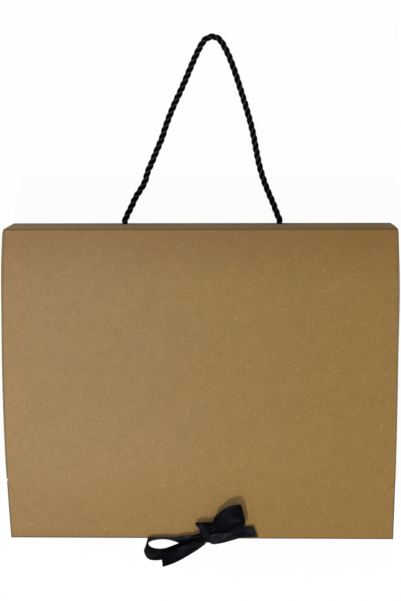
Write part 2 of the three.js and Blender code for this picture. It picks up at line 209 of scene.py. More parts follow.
class Nodes:
    """A node tree under construction."""

    def __init__(self, tree: bpy.types.NodeTree) -> None:
        """Hold an empty tree."""
        self.tree = tree

    def node(self, kind: str, settings: dict | None = None, inputs: dict | None = None) -> bpy.types.Node:
        """Add a node.

        Args:
            kind: the node's type.
            settings: attributes set before anything is linked.
            inputs: values, sockets or Value objects by input name or number.

        Returns:
            The new node.
        """
        node = self.tree.nodes.new(kind)
        for key, setting in (settings or {}).items():
            setattr(node, key, setting)
        for key, given in (inputs or {}).items():
            self.feed(node.inputs[key], given)
        return node

    def feed(self, socket: bpy.types.NodeSocket, given: object) -> None:
        """Link or set one input socket.

        Args:
            socket: the input.
            given: a Value, a socket, a number, or a tuple for a colour or vector.
        """
        if isinstance(given, Value):
            self.tree.links.new(given.socket, socket)
        elif isinstance(given, bpy.types.NodeSocket):
            self.tree.links.new(given, socket)
        elif isinstance(given, tuple) and socket.type == "RGBA":
            socket.default_value = (*given, 1.0)
        else:
            socket.default_value = given

    def value(self, socket: bpy.types.NodeSocket) -> Value:
        """Wrap a socket for arithmetic."""
        return Value(self.tree, socket)

    def vector(self, operation: str, *inputs: object, scale: object = None) -> bpy.types.NodeSocket:
        """Add a Vector Math node.

        Args:
            operation: the node's operation.
            inputs: the vectors or colours, in order.
            scale: the number that a Scale operation takes.

        Returns:
            The vector that comes out.
        """
        node = self.node("ShaderNodeVectorMath", {"operation": operation}, dict(enumerate(inputs)))
        if scale is not None:
            self.feed(node.inputs["Scale"], scale)
        return node.outputs["Vector"]

    def seen(self) -> Value:
        """Find the rays that show a background: straight, mirrored or through something clear.

        Returns:
            1 on those rays and 0 on the others.
        """
        path = self.node("ShaderNodeLightPath")
        straight, mirrored, clear = (
            self.value(path.outputs[f"Is {kind} Ray"]) for kind in ("Camera", "Glossy", "Transmission")
        )
        return straight.most(mirrored).most(clear)

    def either(
        self, share: Value, first: bpy.types.NodeSocket, second: bpy.types.NodeSocket
    ) -> bpy.types.NodeSocket:
        """Mix two shaders, with share as how much of the second shows."""
        return self.node("ShaderNodeMixShader", inputs={0: share, 1: first, 2: second}).outputs[0]


class Surface(Nodes):
    """One material under construction: a node tree with a Principled shader."""

    def __init__(self, name: str) -> None:
        """Start a material with a Principled shader and an output.

        Args:
            name: the material's name.
        """
        self.material = bpy.data.materials.new(name)
        self.material.use_nodes = True
        super().__init__(self.material.node_tree)
        self.tree.nodes.clear()
        self.shader = self.node("ShaderNodeBsdfPrincipled")
        self.output = self.node("ShaderNodeOutputMaterial", inputs={"Surface": self.shader.outputs[0]})

    def position(self) -> bpy.types.NodeSocket:
        """Give the Object coordinates, which are the box's own frame in metres."""
        return self.node("ShaderNodeTexCoord").outputs["Object"]

    def normal(self) -> bpy.types.NodeSocket:
        """Give the way that the surface faces, in the box's own frame."""
        return self.node("ShaderNodeTexCoord").outputs["Normal"]

    def attribute(self, name: str) -> Value:
        """Read a number that the mesh carries."""
        return self.value(self.node("ShaderNodeAttribute", {"attribute_name": name}).outputs["Fac"])

    def axes(self, vector: bpy.types.NodeSocket) -> Axes:
        """Split a vector into its three numbers.

        Args:
            vector: the vector.

        Returns:
            The numbers along X, Y and Z.
        """
        node = self.node("ShaderNodeSeparateXYZ", inputs={"Vector": vector})
        across, along, up = (self.value(output) for output in node.outputs)
        return across, along, up

    def grain(self, vector: bpy.types.NodeSocket, turn: float, size: Point) -> bpy.types.NodeSocket:
        """Turn coordinates about Z and measure them in a grain's own size.

        Args:
            vector: the coordinates.
            turn: the angle about Z in radians.
            size: the grain's length, width and height.

        Returns:
            The coordinates in grains.
        """
        return self.node(
            "ShaderNodeMapping",
            {"vector_type": "TEXTURE"},
            {"Vector": vector, "Rotation": (0.0, 0.0, turn), "Scale": size},
        ).outputs[0]

    def noise(
        self, vector: bpy.types.NodeSocket, scale: float, detail: float = 2.0, roughness: float = 0.5
    ) -> Value:
        """Add a noise texture.

        Args:
            vector: the coordinates.
            scale: repeats per metre.
            detail: octaves of finer noise.
            roughness: the weight of the finer noise.

        Returns:
            A value around 0.5.
        """
        node = self.node(
            "ShaderNodeTexNoise",
            inputs={"Vector": vector, "Scale": scale, "Detail": detail, "Roughness": roughness},
        )
        return self.value(node.outputs["Fac"])

    def cells(self, vector: bpy.types.NodeSocket, scale: float) -> tuple[Value, Value]:
        """Add scattered dots.

        Args:
            vector: the coordinates.
            scale: cells per metre.

        Returns:
            The distance from each dot's middle, as a share of a cell, and a number for each dot.
        """
        node = self.node("ShaderNodeTexVoronoi", inputs={"Vector": vector, "Scale": scale})
        tint = self.node("ShaderNodeSeparateColor", inputs={"Color": node.outputs["Color"]})
        return self.value(node.outputs["Distance"]), self.value(tint.outputs[0])

    def blend(self, share: Value | float, first: object, second: object) -> bpy.types.NodeSocket:
        """Mix two colours.

        Args:
            share: how much of the second colour shows.
            first: a colour or a socket.
            second: a colour or a socket.

        Returns:
            The mixed colour.
        """
        mixed = self.node("ShaderNodeMix", {"data_type": "RGBA"}, {0: share, 6: first, 7: second})
        return mixed.outputs[2]

    def shade(self, colour: object, level: Value) -> bpy.types.NodeSocket:
        """Multiply a colour or a colour socket by a level that varies over the surface."""
        grey = self.node("ShaderNodeCombineXYZ", inputs={0: level, 1: level, 2: level})
        return self.tint(colour, grey.outputs[0])

    def tint(self, colour: object, other: object) -> bpy.types.NodeSocket:
        """Multiply one colour by another."""
        return self.vector("MULTIPLY", colour, other)

    def relief(self, height: Value, distance: float, strength: float = 1.0) -> None:
        """Feed the shader's Normal from a height.

        Args:
            height: the height as a share.
            distance: the height in metres of a share of 1.
            strength: how much of the relief shows.
        """
        given = {"Height": height, "Distance": distance, "Strength": strength}
        bump = self.node("ShaderNodeBump", inputs=given)
        self.feed(self.shader.inputs["Normal"], bump.outputs[0])

    def finish(self, colour: object, roughness: Value, **sockets: object) -> bpy.types.Material:
        """Feed the shader and give the material.

        Args:
            colour: the colour's socket.
            roughness: the roughness.
            sockets: what is the same all over, by the shader's socket names with _ for a space.

        Returns:
            The material.
        """
        self.feed(self.shader.inputs["Base Color"], colour)
        self.feed(self.shader.inputs["Roughness"], roughness)
        self.constants(**sockets)
        return self.material

    def constants(self, **sockets: object) -> None:
        """Set the shader's own sockets that are the same all over, with _ for a space."""
        for key, given in sockets.items():
            self.feed(self.shader.inputs[key.replace("_", " ")], given)


# Finishes


class Facing(Enum):
    """The axis that a board part's thickness lies along."""

    X = 0
    Y = 1
    Z = 2


class PaintedShade(Enum):
    """Which shade is painted on a board part's liner: at its foot, on the walls, and along the lid's bends,
    creases and edges.
    """

    INSIDE = "inside"
    LID = "lid"
    WALL = "wall"
    HINGE_WALL = "hinge_wall"
    FOLD = "fold"


@dataclass(frozen=True)
class WallTone:
    """The shade painted on the outer face of a wall: greyer towards its foot, and darker at its foot and
    towards its top.
    """

    grey: float
    grey_lost: float
    foot: float
    head: float


WALL_TONES = {
    PaintedShade.WALL: WallTone(grey=0.62, grey_lost=0.2, foot=0.14, head=0.06),
    PaintedShade.HINGE_WALL: WallTone(grey=0.8, grey_lost=0.68, foot=0.2, head=0.16),
}


@dataclass(frozen=True)
class KraftFinish:
    """Brown kraft liner over a fluted core, with its fibres and specks, and painted shade at its bends, edges
    and walls.
    """

    liner_left: Colour = srgb(162, 130, 87)
    liner_right: Colour = srgb(152, 117, 62)
    painted_wall_shade: Colour = srgb(126, 110, 92)
    pale_fibre: Colour = srgb(186, 156, 112)
    dark_fibre: Colour = srgb(108, 77, 41)
    crease_shade: Colour = srgb(92, 63, 36)
    edge_shade_colour: Colour = srgb(76, 68, 48)
    hinge_shade: Colour = (0.84, 0.78, 0.74)
    front_shade: Colour = (0.9, 0.865, 0.79)
    lip_shade: Colour = (0.76, 0.73, 0.6)
    warm_tint: Colour = (1.014, 0.999, 0.965)
    cool_tint: Colour = (0.99, 1.001, 1.014)
    rolled_tint: Colour = (1.0, 1.1, 1.28)
    core: Colour = srgb(133, 104, 68)
    shadow: Colour = srgb(58, 43, 27)
    cloud_size: float = 60 * MM
    blotch_size: float = 9 * MM
    mottle_size: float = 2.6 * MM
    fibre_length: float = 3.4 * MM
    fibre_width: float = 0.3 * MM
    speck_spacing: float = 11 * MM
    flute_pitch: float = 3.2 * MM
    fibre_shows: float = 0.42
    halo_shows: float = 0.35
    speck_shows: float = 0.75
    cloud_depth: float = 0.1
    blotch_depth: float = 0.16
    mottle_depth: float = 0.42
    flute_depth: float = 0.006
    side_wander: float = 120 * MM
    front_wander: float = 50 * MM
    inside_foot_shade: float = 0.22
    relief_height: float = 0.05 * MM
    roughness: float = 0.84
    gloss: float = 0.3
    wall_gloss: float = 0.12

    def material(self, facing: Facing, wear_and_shade: PaintedShade, low: float, high: float) -> bpy.types.Material:
        """Make the kraft material for a board part.

        Args:
            facing: the axis that the part's thickness lies along.
            wear_and_shade: which shade is painted on the part's liner.
            low: the part's lower face on that axis.
            high: the part's upper face on that axis.

        Returns:
            The material.
        """
        surface = Surface(f"kraft_{wear_and_shade.value}_{facing.name.lower()}_{round(low / MM)}_{round(high / MM)}")
        place = surface.position()
        axes = surface.axes(place)
        x, y, _ = axes
        plane = self.plane(surface, axes, facing)
        cloud = surface.noise(place, 1 / self.cloud_size, 3.0)
        blotch = surface.noise(place, 1 / self.blotch_size, 2.0)
        mottle = surface.noise(place, 1 / self.mottle_size, 5.0, 0.62)
        flute = (surface.axes(plane)[0] * (FULL_TURN / self.flute_pitch)).sine()
        pale, dark = self.fibres(surface, plane)
        specks, halos = self.specks(surface, plane)
        # The liner is lighter on the left and deeper towards the right, along a line that wanders with the
        # clouds: partly its own tone, and partly painted light falling from the left.
        wander = (cloud - 0.5) * self.side_wander + y.over(-60 * MM, -142 * MM) * self.front_wander
        side = (x + wander).over(-170 * MM, 170 * MM)
        colour = surface.blend(side, self.liner_left, self.liner_right)
        # Painted shade: a wall's outward face is blended towards the painted wall shade, most near its foot.
        if wear_and_shade in WALL_TONES:
            outward = surface.axes(surface.normal())[facing.value] * math.copysign(1.0, low + high)
            colour = surface.blend(outward.over(0.2, 0.5) * self.grey(wear_and_shade, axes), colour, self.painted_wall_shade)
        for share, mark in (
            (pale * self.fibre_shows, self.pale_fibre),
            (dark * self.fibre_shows, self.dark_fibre),
            (halos * self.halo_shows, self.pale_fibre),
            (specks * self.speck_shows, self.dark_fibre),
        ):
            colour = surface.blend(share, colour, mark)
        hue = surface.noise(surface.grain(place, 0.7, (9 * MM, 6 * MM, 9 * MM)), 1.0, 4.0, 0.6)
        colour = surface.tint(colour, surface.blend(hue.over(0.3, 0.7), self.warm_tint, self.cool_tint))
        level = 1.0 + (cloud - 0.5) * self.cloud_depth + (blotch - 0.5) * self.blotch_depth
        level = level + (mottle - 0.5) * (self.mottle_depth - side * 0.1) + flute * self.flute_depth
        colour, dimming = self.shaded(surface, wear_and_shade, axes, side, mottle, colour)
        colour = surface.shade(colour, level * dimming)
        relief = mottle * 0.6 + pale * 0.5 - dark * 0.4 + flute * 0.12
        if wear_and_shade is not PaintedShade.FOLD:
            cut, wave = self.cut_edge(surface, axes, facing, low, high)
            colour = surface.blend(cut, colour, surface.blend(wave, self.shadow, self.core))
            relief = relief + cut * wave
        surface.relief(relief, self.relief_height, 0.8)
        roughness = self.roughness + (mottle - 0.5) * 0.16
        gloss = self.wall_gloss if wear_and_shade in WALL_TONES else self.gloss
        return surface.finish(colour, roughness, Specular_IOR_Level=gloss)

    def grey(self, wear_and_shade: PaintedShade, axes: Axes) -> Value:
        """Find how much of the painted wall shade an outer liner takes, less towards its top."""
        tone = WALL_TONES[wear_and_shade]
        return tone.grey - axes[2].over(2 * MM, 46 * MM) * tone.grey_lost

    def shaded(
        self,
        surface: Surface,
        wear_and_shade: PaintedShade,
        axes: Axes,
        side: Value,
        mottle: Value,
        colour: bpy.types.NodeSocket,
    ) -> tuple[bpy.types.NodeSocket, Value | float]:
        """Paint shade into the liner in the way of its place on the box.

        Args:
            surface: the material.
            wear_and_shade: which shade is painted on the part's liner.
            axes: the place along each axis.
            side: how far to the right the place is.
            mottle: a fine noise.
            colour: the fresh liner's colour.

        Returns:
            The colour with its painted shade, and the level to multiply it by.
        """
        x, y, z = axes
        # Painted shade towards the lid's hinge and free edge.
        if wear_and_shade in (PaintedShade.LID, PaintedShade.FOLD):
            colour = surface.tint(colour, self.bend_shade(surface, x, y))
        if wear_and_shade is PaintedShade.LID:
            # Painted shade in the lid's creases and along its side and front edges.
            colour = surface.blend(self.creases(x, y, mottle), colour, self.crease_shade)
            return surface.blend(self.edge_shade(x, y), colour, self.edge_shade_colour), 1.0
        if wear_and_shade is PaintedShade.FOLD:
            # Painted shade: the fold's outer side takes half of the painted wall shade and its top the
            # painted edge shade; then it is tinted bluer and lifted by a fifth.
            top = z.over(48.6 * MM, 49.9 * MM)
            colour = surface.blend((1.0 - top) * 0.5, colour, self.painted_wall_shade)
            colour = surface.tint(surface.blend(top * 0.3, colour, self.edge_shade_colour), self.rolled_tint)
            return colour, 1.2 - top * 0.05
        # Painted shade: an inside part is darker at its foot, a wall as its tone says, and both a little
        # darker towards the right.
        if wear_and_shade is PaintedShade.INSIDE:
            dim = z.over(5 * MM, 0.0) * self.inside_foot_shade
        else:
            tone = WALL_TONES[wear_and_shade]
            dim = z.over(12 * MM, 2 * MM) * tone.foot + z.over(8 * MM, 40 * MM) * tone.head
        return colour, 1.0 - dim - side * 0.1

    def plane(self, surface: Surface, axes: Axes, facing: Facing) -> bpy.types.NodeSocket:
        """Swap the axes so that the part's faces lie in the first two.

        Args:
            surface: the material.
            axes: the place along each axis.
            facing: the axis that the part's thickness lies along.

        Returns:
            The coordinates, the last one through the thickness.
        """
        order = {Facing.X: (1, 2, 0), Facing.Y: (0, 2, 1), Facing.Z: (0, 1, 2)}[facing]
        swapped = {index: axes[axis] for index, axis in enumerate(order)}
        return surface.node("ShaderNodeCombineXYZ", inputs=swapped).outputs[0]

    def bend_shade(self, surface: Surface, x: Value, y: Value) -> bpy.types.NodeSocket:
        """Paint shade into the liner towards the lid's hinge and free edge, where the lid curves and less
        light falls.

        Args:
            surface: the material.
            x: the place across the lid.
            y: the place along the lid.

        Returns:
            The tint, white where no shade is painted.
        """
        left = x.over(50 * MM, -150 * MM)
        hinge = y.over(85 * MM, 142 * MM) * (1.0 - left * 0.22)
        front = y.over(-60 * MM, -130 * MM) * (left * 0.5 + 0.45)
        lip = y.over(-130 * MM, -141.5 * MM) * left * 0.6
        hinge_shaded = surface.blend(hinge, WHITE, self.hinge_shade)
        return surface.blend(lip, surface.blend(front, hinge_shaded, self.front_shade), self.lip_shade)

    def edge_shade(self, x: Value, y: Value) -> Value:
        """Find the line of painted shade just inside the lid's side and front edges.

        Args:
            x: the place across the lid.
            y: the place along the lid.

        Returns:
            How much of the line shows.
        """
        swell = 1.0 - (y / HALF_LENGTH) * (y / HALF_LENGTH)
        left = x + HALF_WIDTH + swell * BELLY_LEFT
        right = swell * BELLY_RIGHT + HALF_WIDTH - x
        margin = (left * 0.85).least(right).least((y + HALF_LENGTH) * 0.75)
        return margin.over(1.6 * MM, 0.5 * MM) * 0.8

    def creases(self, x: Value, y: Value, mottle: Value) -> Value:
        """Find the lid's creases, where shade is painted: along the hinge, and a bend at each front corner.

        Args:
            x: the place across the lid.
            y: the place along the lid.
            mottle: a fine noise that breaks the lines up.

        Returns:
            How much of the crease's colour shows.
        """
        hinge = y.over(HALF_LENGTH - 1.9 * MM, HALF_LENGTH - 0.6 * MM) * 0.55
        left = self.bend_mark(x, y, (-174.7, -90.5), (-170.8, -102.0))
        right = self.bend_mark(x, y, (174.5, -90.0), (164.8, -103.5))
        return hinge.most(left.most(right) * 0.22) * (0.7 + mottle * 0.6)

    def bend_mark(self, x: Value, y: Value, start: tuple[float, float], end: tuple[float, float]) -> Value:
        """Draw one faint line of painted shade along a bend where a corner of the lid was flexed.

        Args:
            x: the place across the lid.
            y: the place along the lid.
            start: the bend's outer end in millimetres.
            end: the bend's inner end in millimetres.

        Returns:
            How strongly the bend shows.
        """
        length = math.hypot(end[0] - start[0], end[1] - start[1])
        run = ((end[0] - start[0]) / length, (end[1] - start[1]) / length)
        from_x = x - start[0] * MM
        from_y = y - start[1] * MM
        along = from_x * run[0] + from_y * run[1]
        aside = abs(from_x * run[1] - from_y * run[0])
        line = aside.over(0.9 * MM, 0.25 * MM)
        return line * along.over(-2 * MM, 1 * MM) * along.over((length + 6) * MM, length * 0.6 * MM)

    def fibres(self, surface: Surface, plane: bpy.types.NodeSocket) -> tuple[Value, Value]:
        """Lay short pale and dark fibres in several directions.

        Args:
            surface: the material.
            plane: the coordinates, with the part's faces in the first two.

        Returns:
            How much pale fibre and how much dark fibre shows.
        """
        size = (self.fibre_length, self.fibre_width, self.fibre_length)
        grains = [surface.noise(surface.grain(plane, turn, size), 1.0, 1.0) for turn in (0.25, 1.2, 2.35)]
        pale = [grain.over(0.62, 0.75) for grain in grains]
        dark = [grain.over(0.36, 0.24) for grain in grains]
        return pale[0].most(pale[1]).most(pale[2]), dark[0].most(dark[1]).most(dark[2])

    def specks(self, surface: Surface, plane: bpy.types.NodeSocket) -> tuple[Value, Value]:
        """Scatter small dark specks, some of them in a pale ring.

        Args:
            surface: the material.
            plane: the coordinates, with the part's faces in the first two.

        Returns:
            How much dark speck and how much pale ring shows.
        """
        distance, chance = surface.cells(plane, 1 / self.speck_spacing)
        dot = distance.over(0.085, 0.045) * chance.over(0.7, 0.72)
        ring = distance.over(0.19, 0.1) * chance.over(0.78, 0.8)
        return dot, ring * (1.0 - dot)

    def cut_edge(
        self, surface: Surface, axes: Axes, facing: Facing, low: float, high: float
    ) -> tuple[Value, Value]:
        """Find the raw cut edges of the board and draw the fluted core there.

        Args:
            surface: the material.
            axes: the place along each axis.
            facing: the axis that the part's thickness lies along.
            low: the part's lower face on that axis.
            high: the part's upper face on that axis.

        Returns:
            Where the cut edge is, and where paper shows in it.
        """
        cut = abs(surface.axes(surface.normal())[facing.value]).over(0.25, 0.1)
        share = (axes[facing.value] - low) / (high - low)
        others = [axes[index] for index in range(3) if index != facing.value]
        along = (others[0] + others[1]) * (FULL_TURN / self.flute_pitch)
        liner = abs(share - 0.5).over(0.34, 0.4)
        medium = abs(share - 0.5 - along.sine() * 0.3).over(0.14, 0.07)
        return cut, liner.most(medium)


@dataclass(frozen=True)
class SatinFinish:
    """Black satin ribbon: close warp threads, a soft sheen painted into its colour, and a woven edge."""

    colour: Colour = srgb(12, 11, 15)
    painted_sheen: Colour = srgb(40, 42, 46)
    thread: float = 0.16 * MM
    streak: float = 0.8 * MM
    cloud: float = 10 * MM
    width: float = RIBBON_WIDTH
    weft_pitch: float = 2.2
    ridge_pitch: float = 3.0

    def material(self) -> bpy.types.Material:
        """Make the satin. The ribbon's own UV map gives metres along and across it.

        Returns:
            The material.
        """
        surface = Surface("satin_ribbon")
        place = surface.node("ShaderNodeUVMap", {"uv_map": "ribbon"}).outputs[0]
        along, across, _ = surface.axes(place)
        streak = surface.noise(surface.grain(place, 0.0, (self.streak * 12, self.streak, 1.0)), 1.0, 4.0, 0.6)
        fine = surface.noise(surface.grain(place, 0.0, (self.thread * 7, self.thread, 1.0)), 1.0)
        cloud = surface.noise(surface.grain(place, 0.4, (self.cloud * 2, self.cloud, 1.0)), 1.0, 2.0)
        weft = (along * (FULL_TURN / (self.weft_pitch * self.thread))).sine()
        ridge = (along * (FULL_TURN / (self.ridge_pitch * self.thread))).sine()
        edge = (abs(across) / (self.width / 2)).over(0.9, 0.95)
        # Painted sheen: clouds and streaks that blend the colour towards a paler grey.
        painted_sheen = (cloud.over(0.42, 0.75) * 0.55 + (streak - 0.5) * 0.45).most(0.0) * (1.0 - edge * 0.6)
        # Painted sheen and shade: each place's painted shine makes the satin paler or darker, partly as a
        # rubbed face.
        sheen_and_rub = surface.attribute("shine")
        shine = 1.0 + sheen_and_rub * (0.3 + cloud.over(0.3, 0.6) * 0.7)
        level = (1.0 + (fine - 0.5) * 0.6 - edge * 0.2) * shine.most(0.3)
        sheen = surface.blend((painted_sheen + sheen_and_rub * 0.09).most(0.0), self.colour, self.painted_sheen)
        surface.relief(streak * 0.9 + fine * 0.35 + weft * 0.05 + edge * (0.4 + ridge * 0.3), 0.05 * MM, 0.7)
        roughness = 0.5 + (streak - 0.5) * 0.2 + edge * 0.2
        return surface.finish(surface.shade(sheen, level), roughness, Specular_IOR_Level=0.003)


@dataclass(frozen=True)
class RopeFinish:
    """Black cotton rope: each strand is twisted from fine yarns that lie across its turn, with a highlight
    painted on its crowns.
    """

    colour: Colour = srgb(6, 6, 7)
    crown: Colour = srgb(58, 58, 60)
    lint: Colour = srgb(46, 46, 48)
    yarns: int = 9
    yarn_pitch: float = 7 * MM
    fuzz_scale: float = 2400.0
    wear_scale: float = 140.0

    def material(self) -> bpy.types.Material:
        """Make the rope.

        Each strand carries its length, the turn round it and the way out of the rope as attributes.

        Returns:
            The material.
        """
        surface = Surface("twisted_rope")
        place = surface.position()
        along = surface.attribute("along")
        turn = surface.attribute("side").maths("ARCTAN2", surface.attribute("front"))
        yarn = (turn * float(self.yarns) - along * (FULL_TURN * self.yarns / self.yarn_pitch)).sine()
        twill = yarn * 0.5 + 0.5
        fuzz = surface.noise(place, self.fuzz_scale, 3.0, 0.7)
        wear_and_shade = surface.noise(place, self.wear_scale, 2.0)
        level = 0.62 + twill * 0.5 + (fuzz - 0.5) * 0.5 + (wear_and_shade - 0.5) * 0.25
        # Painted highlight: where a strand faces out of the rope its crown is painted paler, partly as wear.
        outward = surface.node("ShaderNodeAttribute", {"attribute_name": "out"}).outputs["Vector"]
        product = {0: outward, 1: surface.normal()}
        facing = surface.node("ShaderNodeVectorMath", {"operation": "DOT_PRODUCT"}, product)
        crown = surface.value(facing.outputs["Value"]).over(0.74, 0.96)
        sheen_and_rub = crown * (0.42 + twill * 0.46 + (wear_and_shade - 0.5) * 0.5)
        colour = surface.blend(sheen_and_rub, surface.shade(self.colour, level), self.crown)
        colour = surface.blend(fuzz.over(0.66, 0.78) * 0.45, colour, self.lint)
        surface.relief(twill * 0.8 + fuzz * 0.5, 0.18 * MM, 0.9)
        return surface.finish(colour, 0.36 + (fuzz - 0.5) * 0.3, Specular_IOR_Level=0.02)


# Studio


@dataclass(frozen=True)
class StudioFloor:
    """A white floor that stays white to the eye and keeps a soft shadow of the box."""

    reach: float = 6.0
    drop: float = 0.2 * MM
    shadow_share: float = 0.05
    paper: Colour = (0.96, 0.96, 0.96)

    def build(self) -> None:
        """Make the floor."""
        mesh = bpy.data.meshes.new("studio_floor")
        reach = self.reach
        corners = [(-reach, -reach), (reach, -reach), (reach, reach), (-reach, reach)]
        mesh.from_pydata([(x, y, -self.drop) for x, y in corners], [], [(0, 1, 2, 3)])
        floor = add_object("studio_floor", mesh)
        mesh.materials.append(self.material())

    def material(self) -> bpy.types.Material:
        """Make the floor's paint: plain white paper, mostly lit by itself for the camera.

        Returns:
            The material.
        """
        surface = Surface("studio_floor")
        surface.constants(Base_Color=self.paper, Roughness=0.9, Specular_IOR_Level=0.1)
        glow = surface.node("ShaderNodeEmission", inputs={"Color": WHITE, "Strength": 1.0})
        share = surface.seen() * (1.0 - self.shadow_share)
        paint = surface.either(share, surface.shader.outputs[0], glow.outputs[0])
        surface.feed(surface.output.inputs["Surface"], paint)
        return surface.material


@dataclass
class StudioCamera:
    """The camera above the box, a little beyond the hinge and turned slightly."""

    place: Point = (39.4 * MM, 290.1 * MM, 1379.7 * MM)
    pitch: float = math.radians(-9.05)
    yaw: float = math.radians(1.67)
    focal_pixels: float = 1509.2
    frame_height: int = 601
    sensor: float = 36.0
    nearest: float = 0.05
    farthest: float = 50.0

    def build(self) -> None:
        """Make the camera and give it to the scene."""
        data = bpy.data.cameras.new("studio_camera")
        data.sensor_width = self.sensor
        data.lens = self.focal_pixels / self.frame_height * self.sensor
        data.clip_start = self.nearest
        data.clip_end = self.farthest
        camera = add_object("studio_camera", data)
        rows = Matrix.Rotation(-self.yaw, 3, "Y") @ Matrix.Rotation(-self.pitch, 3, "X")
        camera.matrix_world = Matrix.Translation(self.place) @ rows.transposed().to_4x4()
        bpy.context.scene.camera = camera


@dataclass
class StudioLights:
    """Plain soft light: a bright room, and one lamp on the left in front."""

    room: Colour = (0.93, 0.97, 1.04)
    room_strength: float = 0.64
    lamp_power: float = 9.8
    lamp_size: float = 0.14
    lamp_distance: float = 1.5
    lamp_azimuth: float = math.radians(244)
    lamp_height: float = math.radians(50)
    lamp_colour: Colour = (1.0, 0.965, 0.9)

    def build(self) -> None:
        """Make the world and the lamp."""
        self.world()
        data = bpy.data.lights.new("softbox", "AREA")
        data.shape = "DISK"
        data.size = self.lamp_size
        data.energy = self.lamp_power
        data.color = self.lamp_colour
        flat = math.cos(self.lamp_height)
        across, along = flat * math.cos(self.lamp_azimuth), flat * math.sin(self.lamp_azimuth)
        towards = Vector((across, along, math.sin(self.lamp_height)))
        lamp = add_object("softbox", data)
        lamp.location = towards * self.lamp_distance
        lamp.rotation_euler = towards.to_track_quat("Z", "Y").to_euler()

    def world(self) -> None:
        """Make the room: white to the eye and in reflections, and softer as light."""
        world = bpy.data.worlds.new("studio")
        world.use_nodes = True
        world.node_tree.nodes.clear()
        sky = Nodes(world.node_tree)
        room = sky.node("ShaderNodeBackground", inputs={"Color": self.room, "Strength": self.room_strength})
        white = sky.node("ShaderNodeBackground", inputs={"Color": WHITE})
        mixed = sky.either(sky.seen(), room.outputs[0], white.outputs[0])
        sky.node("ShaderNodeOutputWorld", inputs={"Surface": mixed})
        bpy.context.scene.world = world


# Curves


def smooth_route(points: list[Point | Vector], step: float) -> list[Vector]:
    """Lead a smooth line through points, with samples at even distances.

    Args:
        points: the points that the line passes through.
        step: the distance between samples.

    Returns:
        The samples, from the first point to the last.
    """
    ends = [Vector(points[0]) * 2 - Vector(points[1]), Vector(points[-1]) * 2 - Vector(points[-2])]
    knots = [ends[0], *[Vector(point) for point in points], ends[1]]
    fine = 24
    dense = []
    for first, start, end, last in zip(knots, knots[1:], knots[2:], knots[3:]):
        for index in range(fine):
            dense.append(catmull_rom(first, start, end, last, index / fine))
    dense.append(Vector(points[-1]))
    length = route_length(dense)
    count = max(2, round(length / step))
    samples = [dense[0]]
    walked = 0.0
    for a, b in zip(dense, dense[1:]):
        span = (b - a).length
        while len(samples) < count and walked + span >= length * len(samples) / count:
            share = (length * len(samples) / count - walked) / span
            samples.append(a.lerp(b, share))
        walked += span
    samples.append(dense[-1])
    return samples


def catmull_rom(first: Vector, start: Vector, end: Vector, last: Vector, share: float) -> Vector:
    """Find a point on the smooth line between start and end.

    Args:
        first: the point before start.
        start: where the stretch begins.
        end: where the stretch ends.
        last: the point after end.
        share: the place between start, 0, and end, 1.

    Returns:
        The point.
    """
    return 0.5 * (
        2 * start
        + (end - first) * share
        + (2 * first - 5 * start + 4 * end - last) * share**2
        + (3 * start - first - 3 * end + last) * share**3
    )


def route_length(points: list[Vector]) -> float:
    """Add up the distances between neighbouring points."""
    return sum((b - a).length for a, b in zip(points, points[1:]))


# The rope


class NodeGroup(Nodes):
    """A Geometry Nodes tree under construction."""

    def __init__(self, name: str) -> None:
        """Start a tree with a geometry input and output.

        Args:
            name: the tree's name.
        """
        super().__init__(bpy.data.node_groups.new(name, "GeometryNodeTree"))
        for way in ("INPUT", "OUTPUT"):
            self.tree.interface.new_socket("Geometry", in_out=way, socket_type="NodeSocketGeometry")
        self.identifiers: dict[str, str] = {}

    def size(self, name: str, kind: str = "NodeSocketFloat") -> None:
        """Add a named input for a size or a material."""
        socket = self.tree.interface.new_socket(name, in_out="INPUT", socket_type=kind)
        self.identifiers[name] = socket.identifier

    def store(
        self, geometry: bpy.types.NodeSocket, name: str, given: object, kind: str = "FLOAT"
    ) -> bpy.types.NodeSocket:
        """Write an attribute for each point.

        Args:
            geometry: the curve or mesh.
            name: the attribute's name.
            given: the number or vector to write.
            kind: the attribute's type.

        Returns:
            The geometry with its attribute.
        """
        return self.node(
            "GeometryNodeStoreNamedAttribute",
            {"data_type": kind, "domain": "POINT"},
            {"Geometry": geometry, "Name": name, "Value": given},
        ).outputs[0]

    def run(self, source: bpy.types.Object, name: str, sizes: dict) -> bpy.types.Object:
        """Apply the tree to an object and keep the result as a plain mesh.

        Args:
            source: the object that the tree reads.
            name: the new piece's name.
            sizes: the tree's inputs by name.

        Returns:
            The new piece. The source is removed.
        """
        modifier = source.modifiers.new(name, "NODES")
        modifier.node_group = self.tree
        for key, given in sizes.items():
            modifier[self.identifiers[key]] = given
        bpy.context.view_layer.update()
        evaluated = source.evaluated_get(bpy.context.evaluated_depsgraph_get())
        mesh = bpy.data.meshes.new_from_object(evaluated)
        mesh.name = name
        piece = add_object(name, mesh)
        source.modifiers.clear()
        bpy.data.objects.remove(source)
        return piece


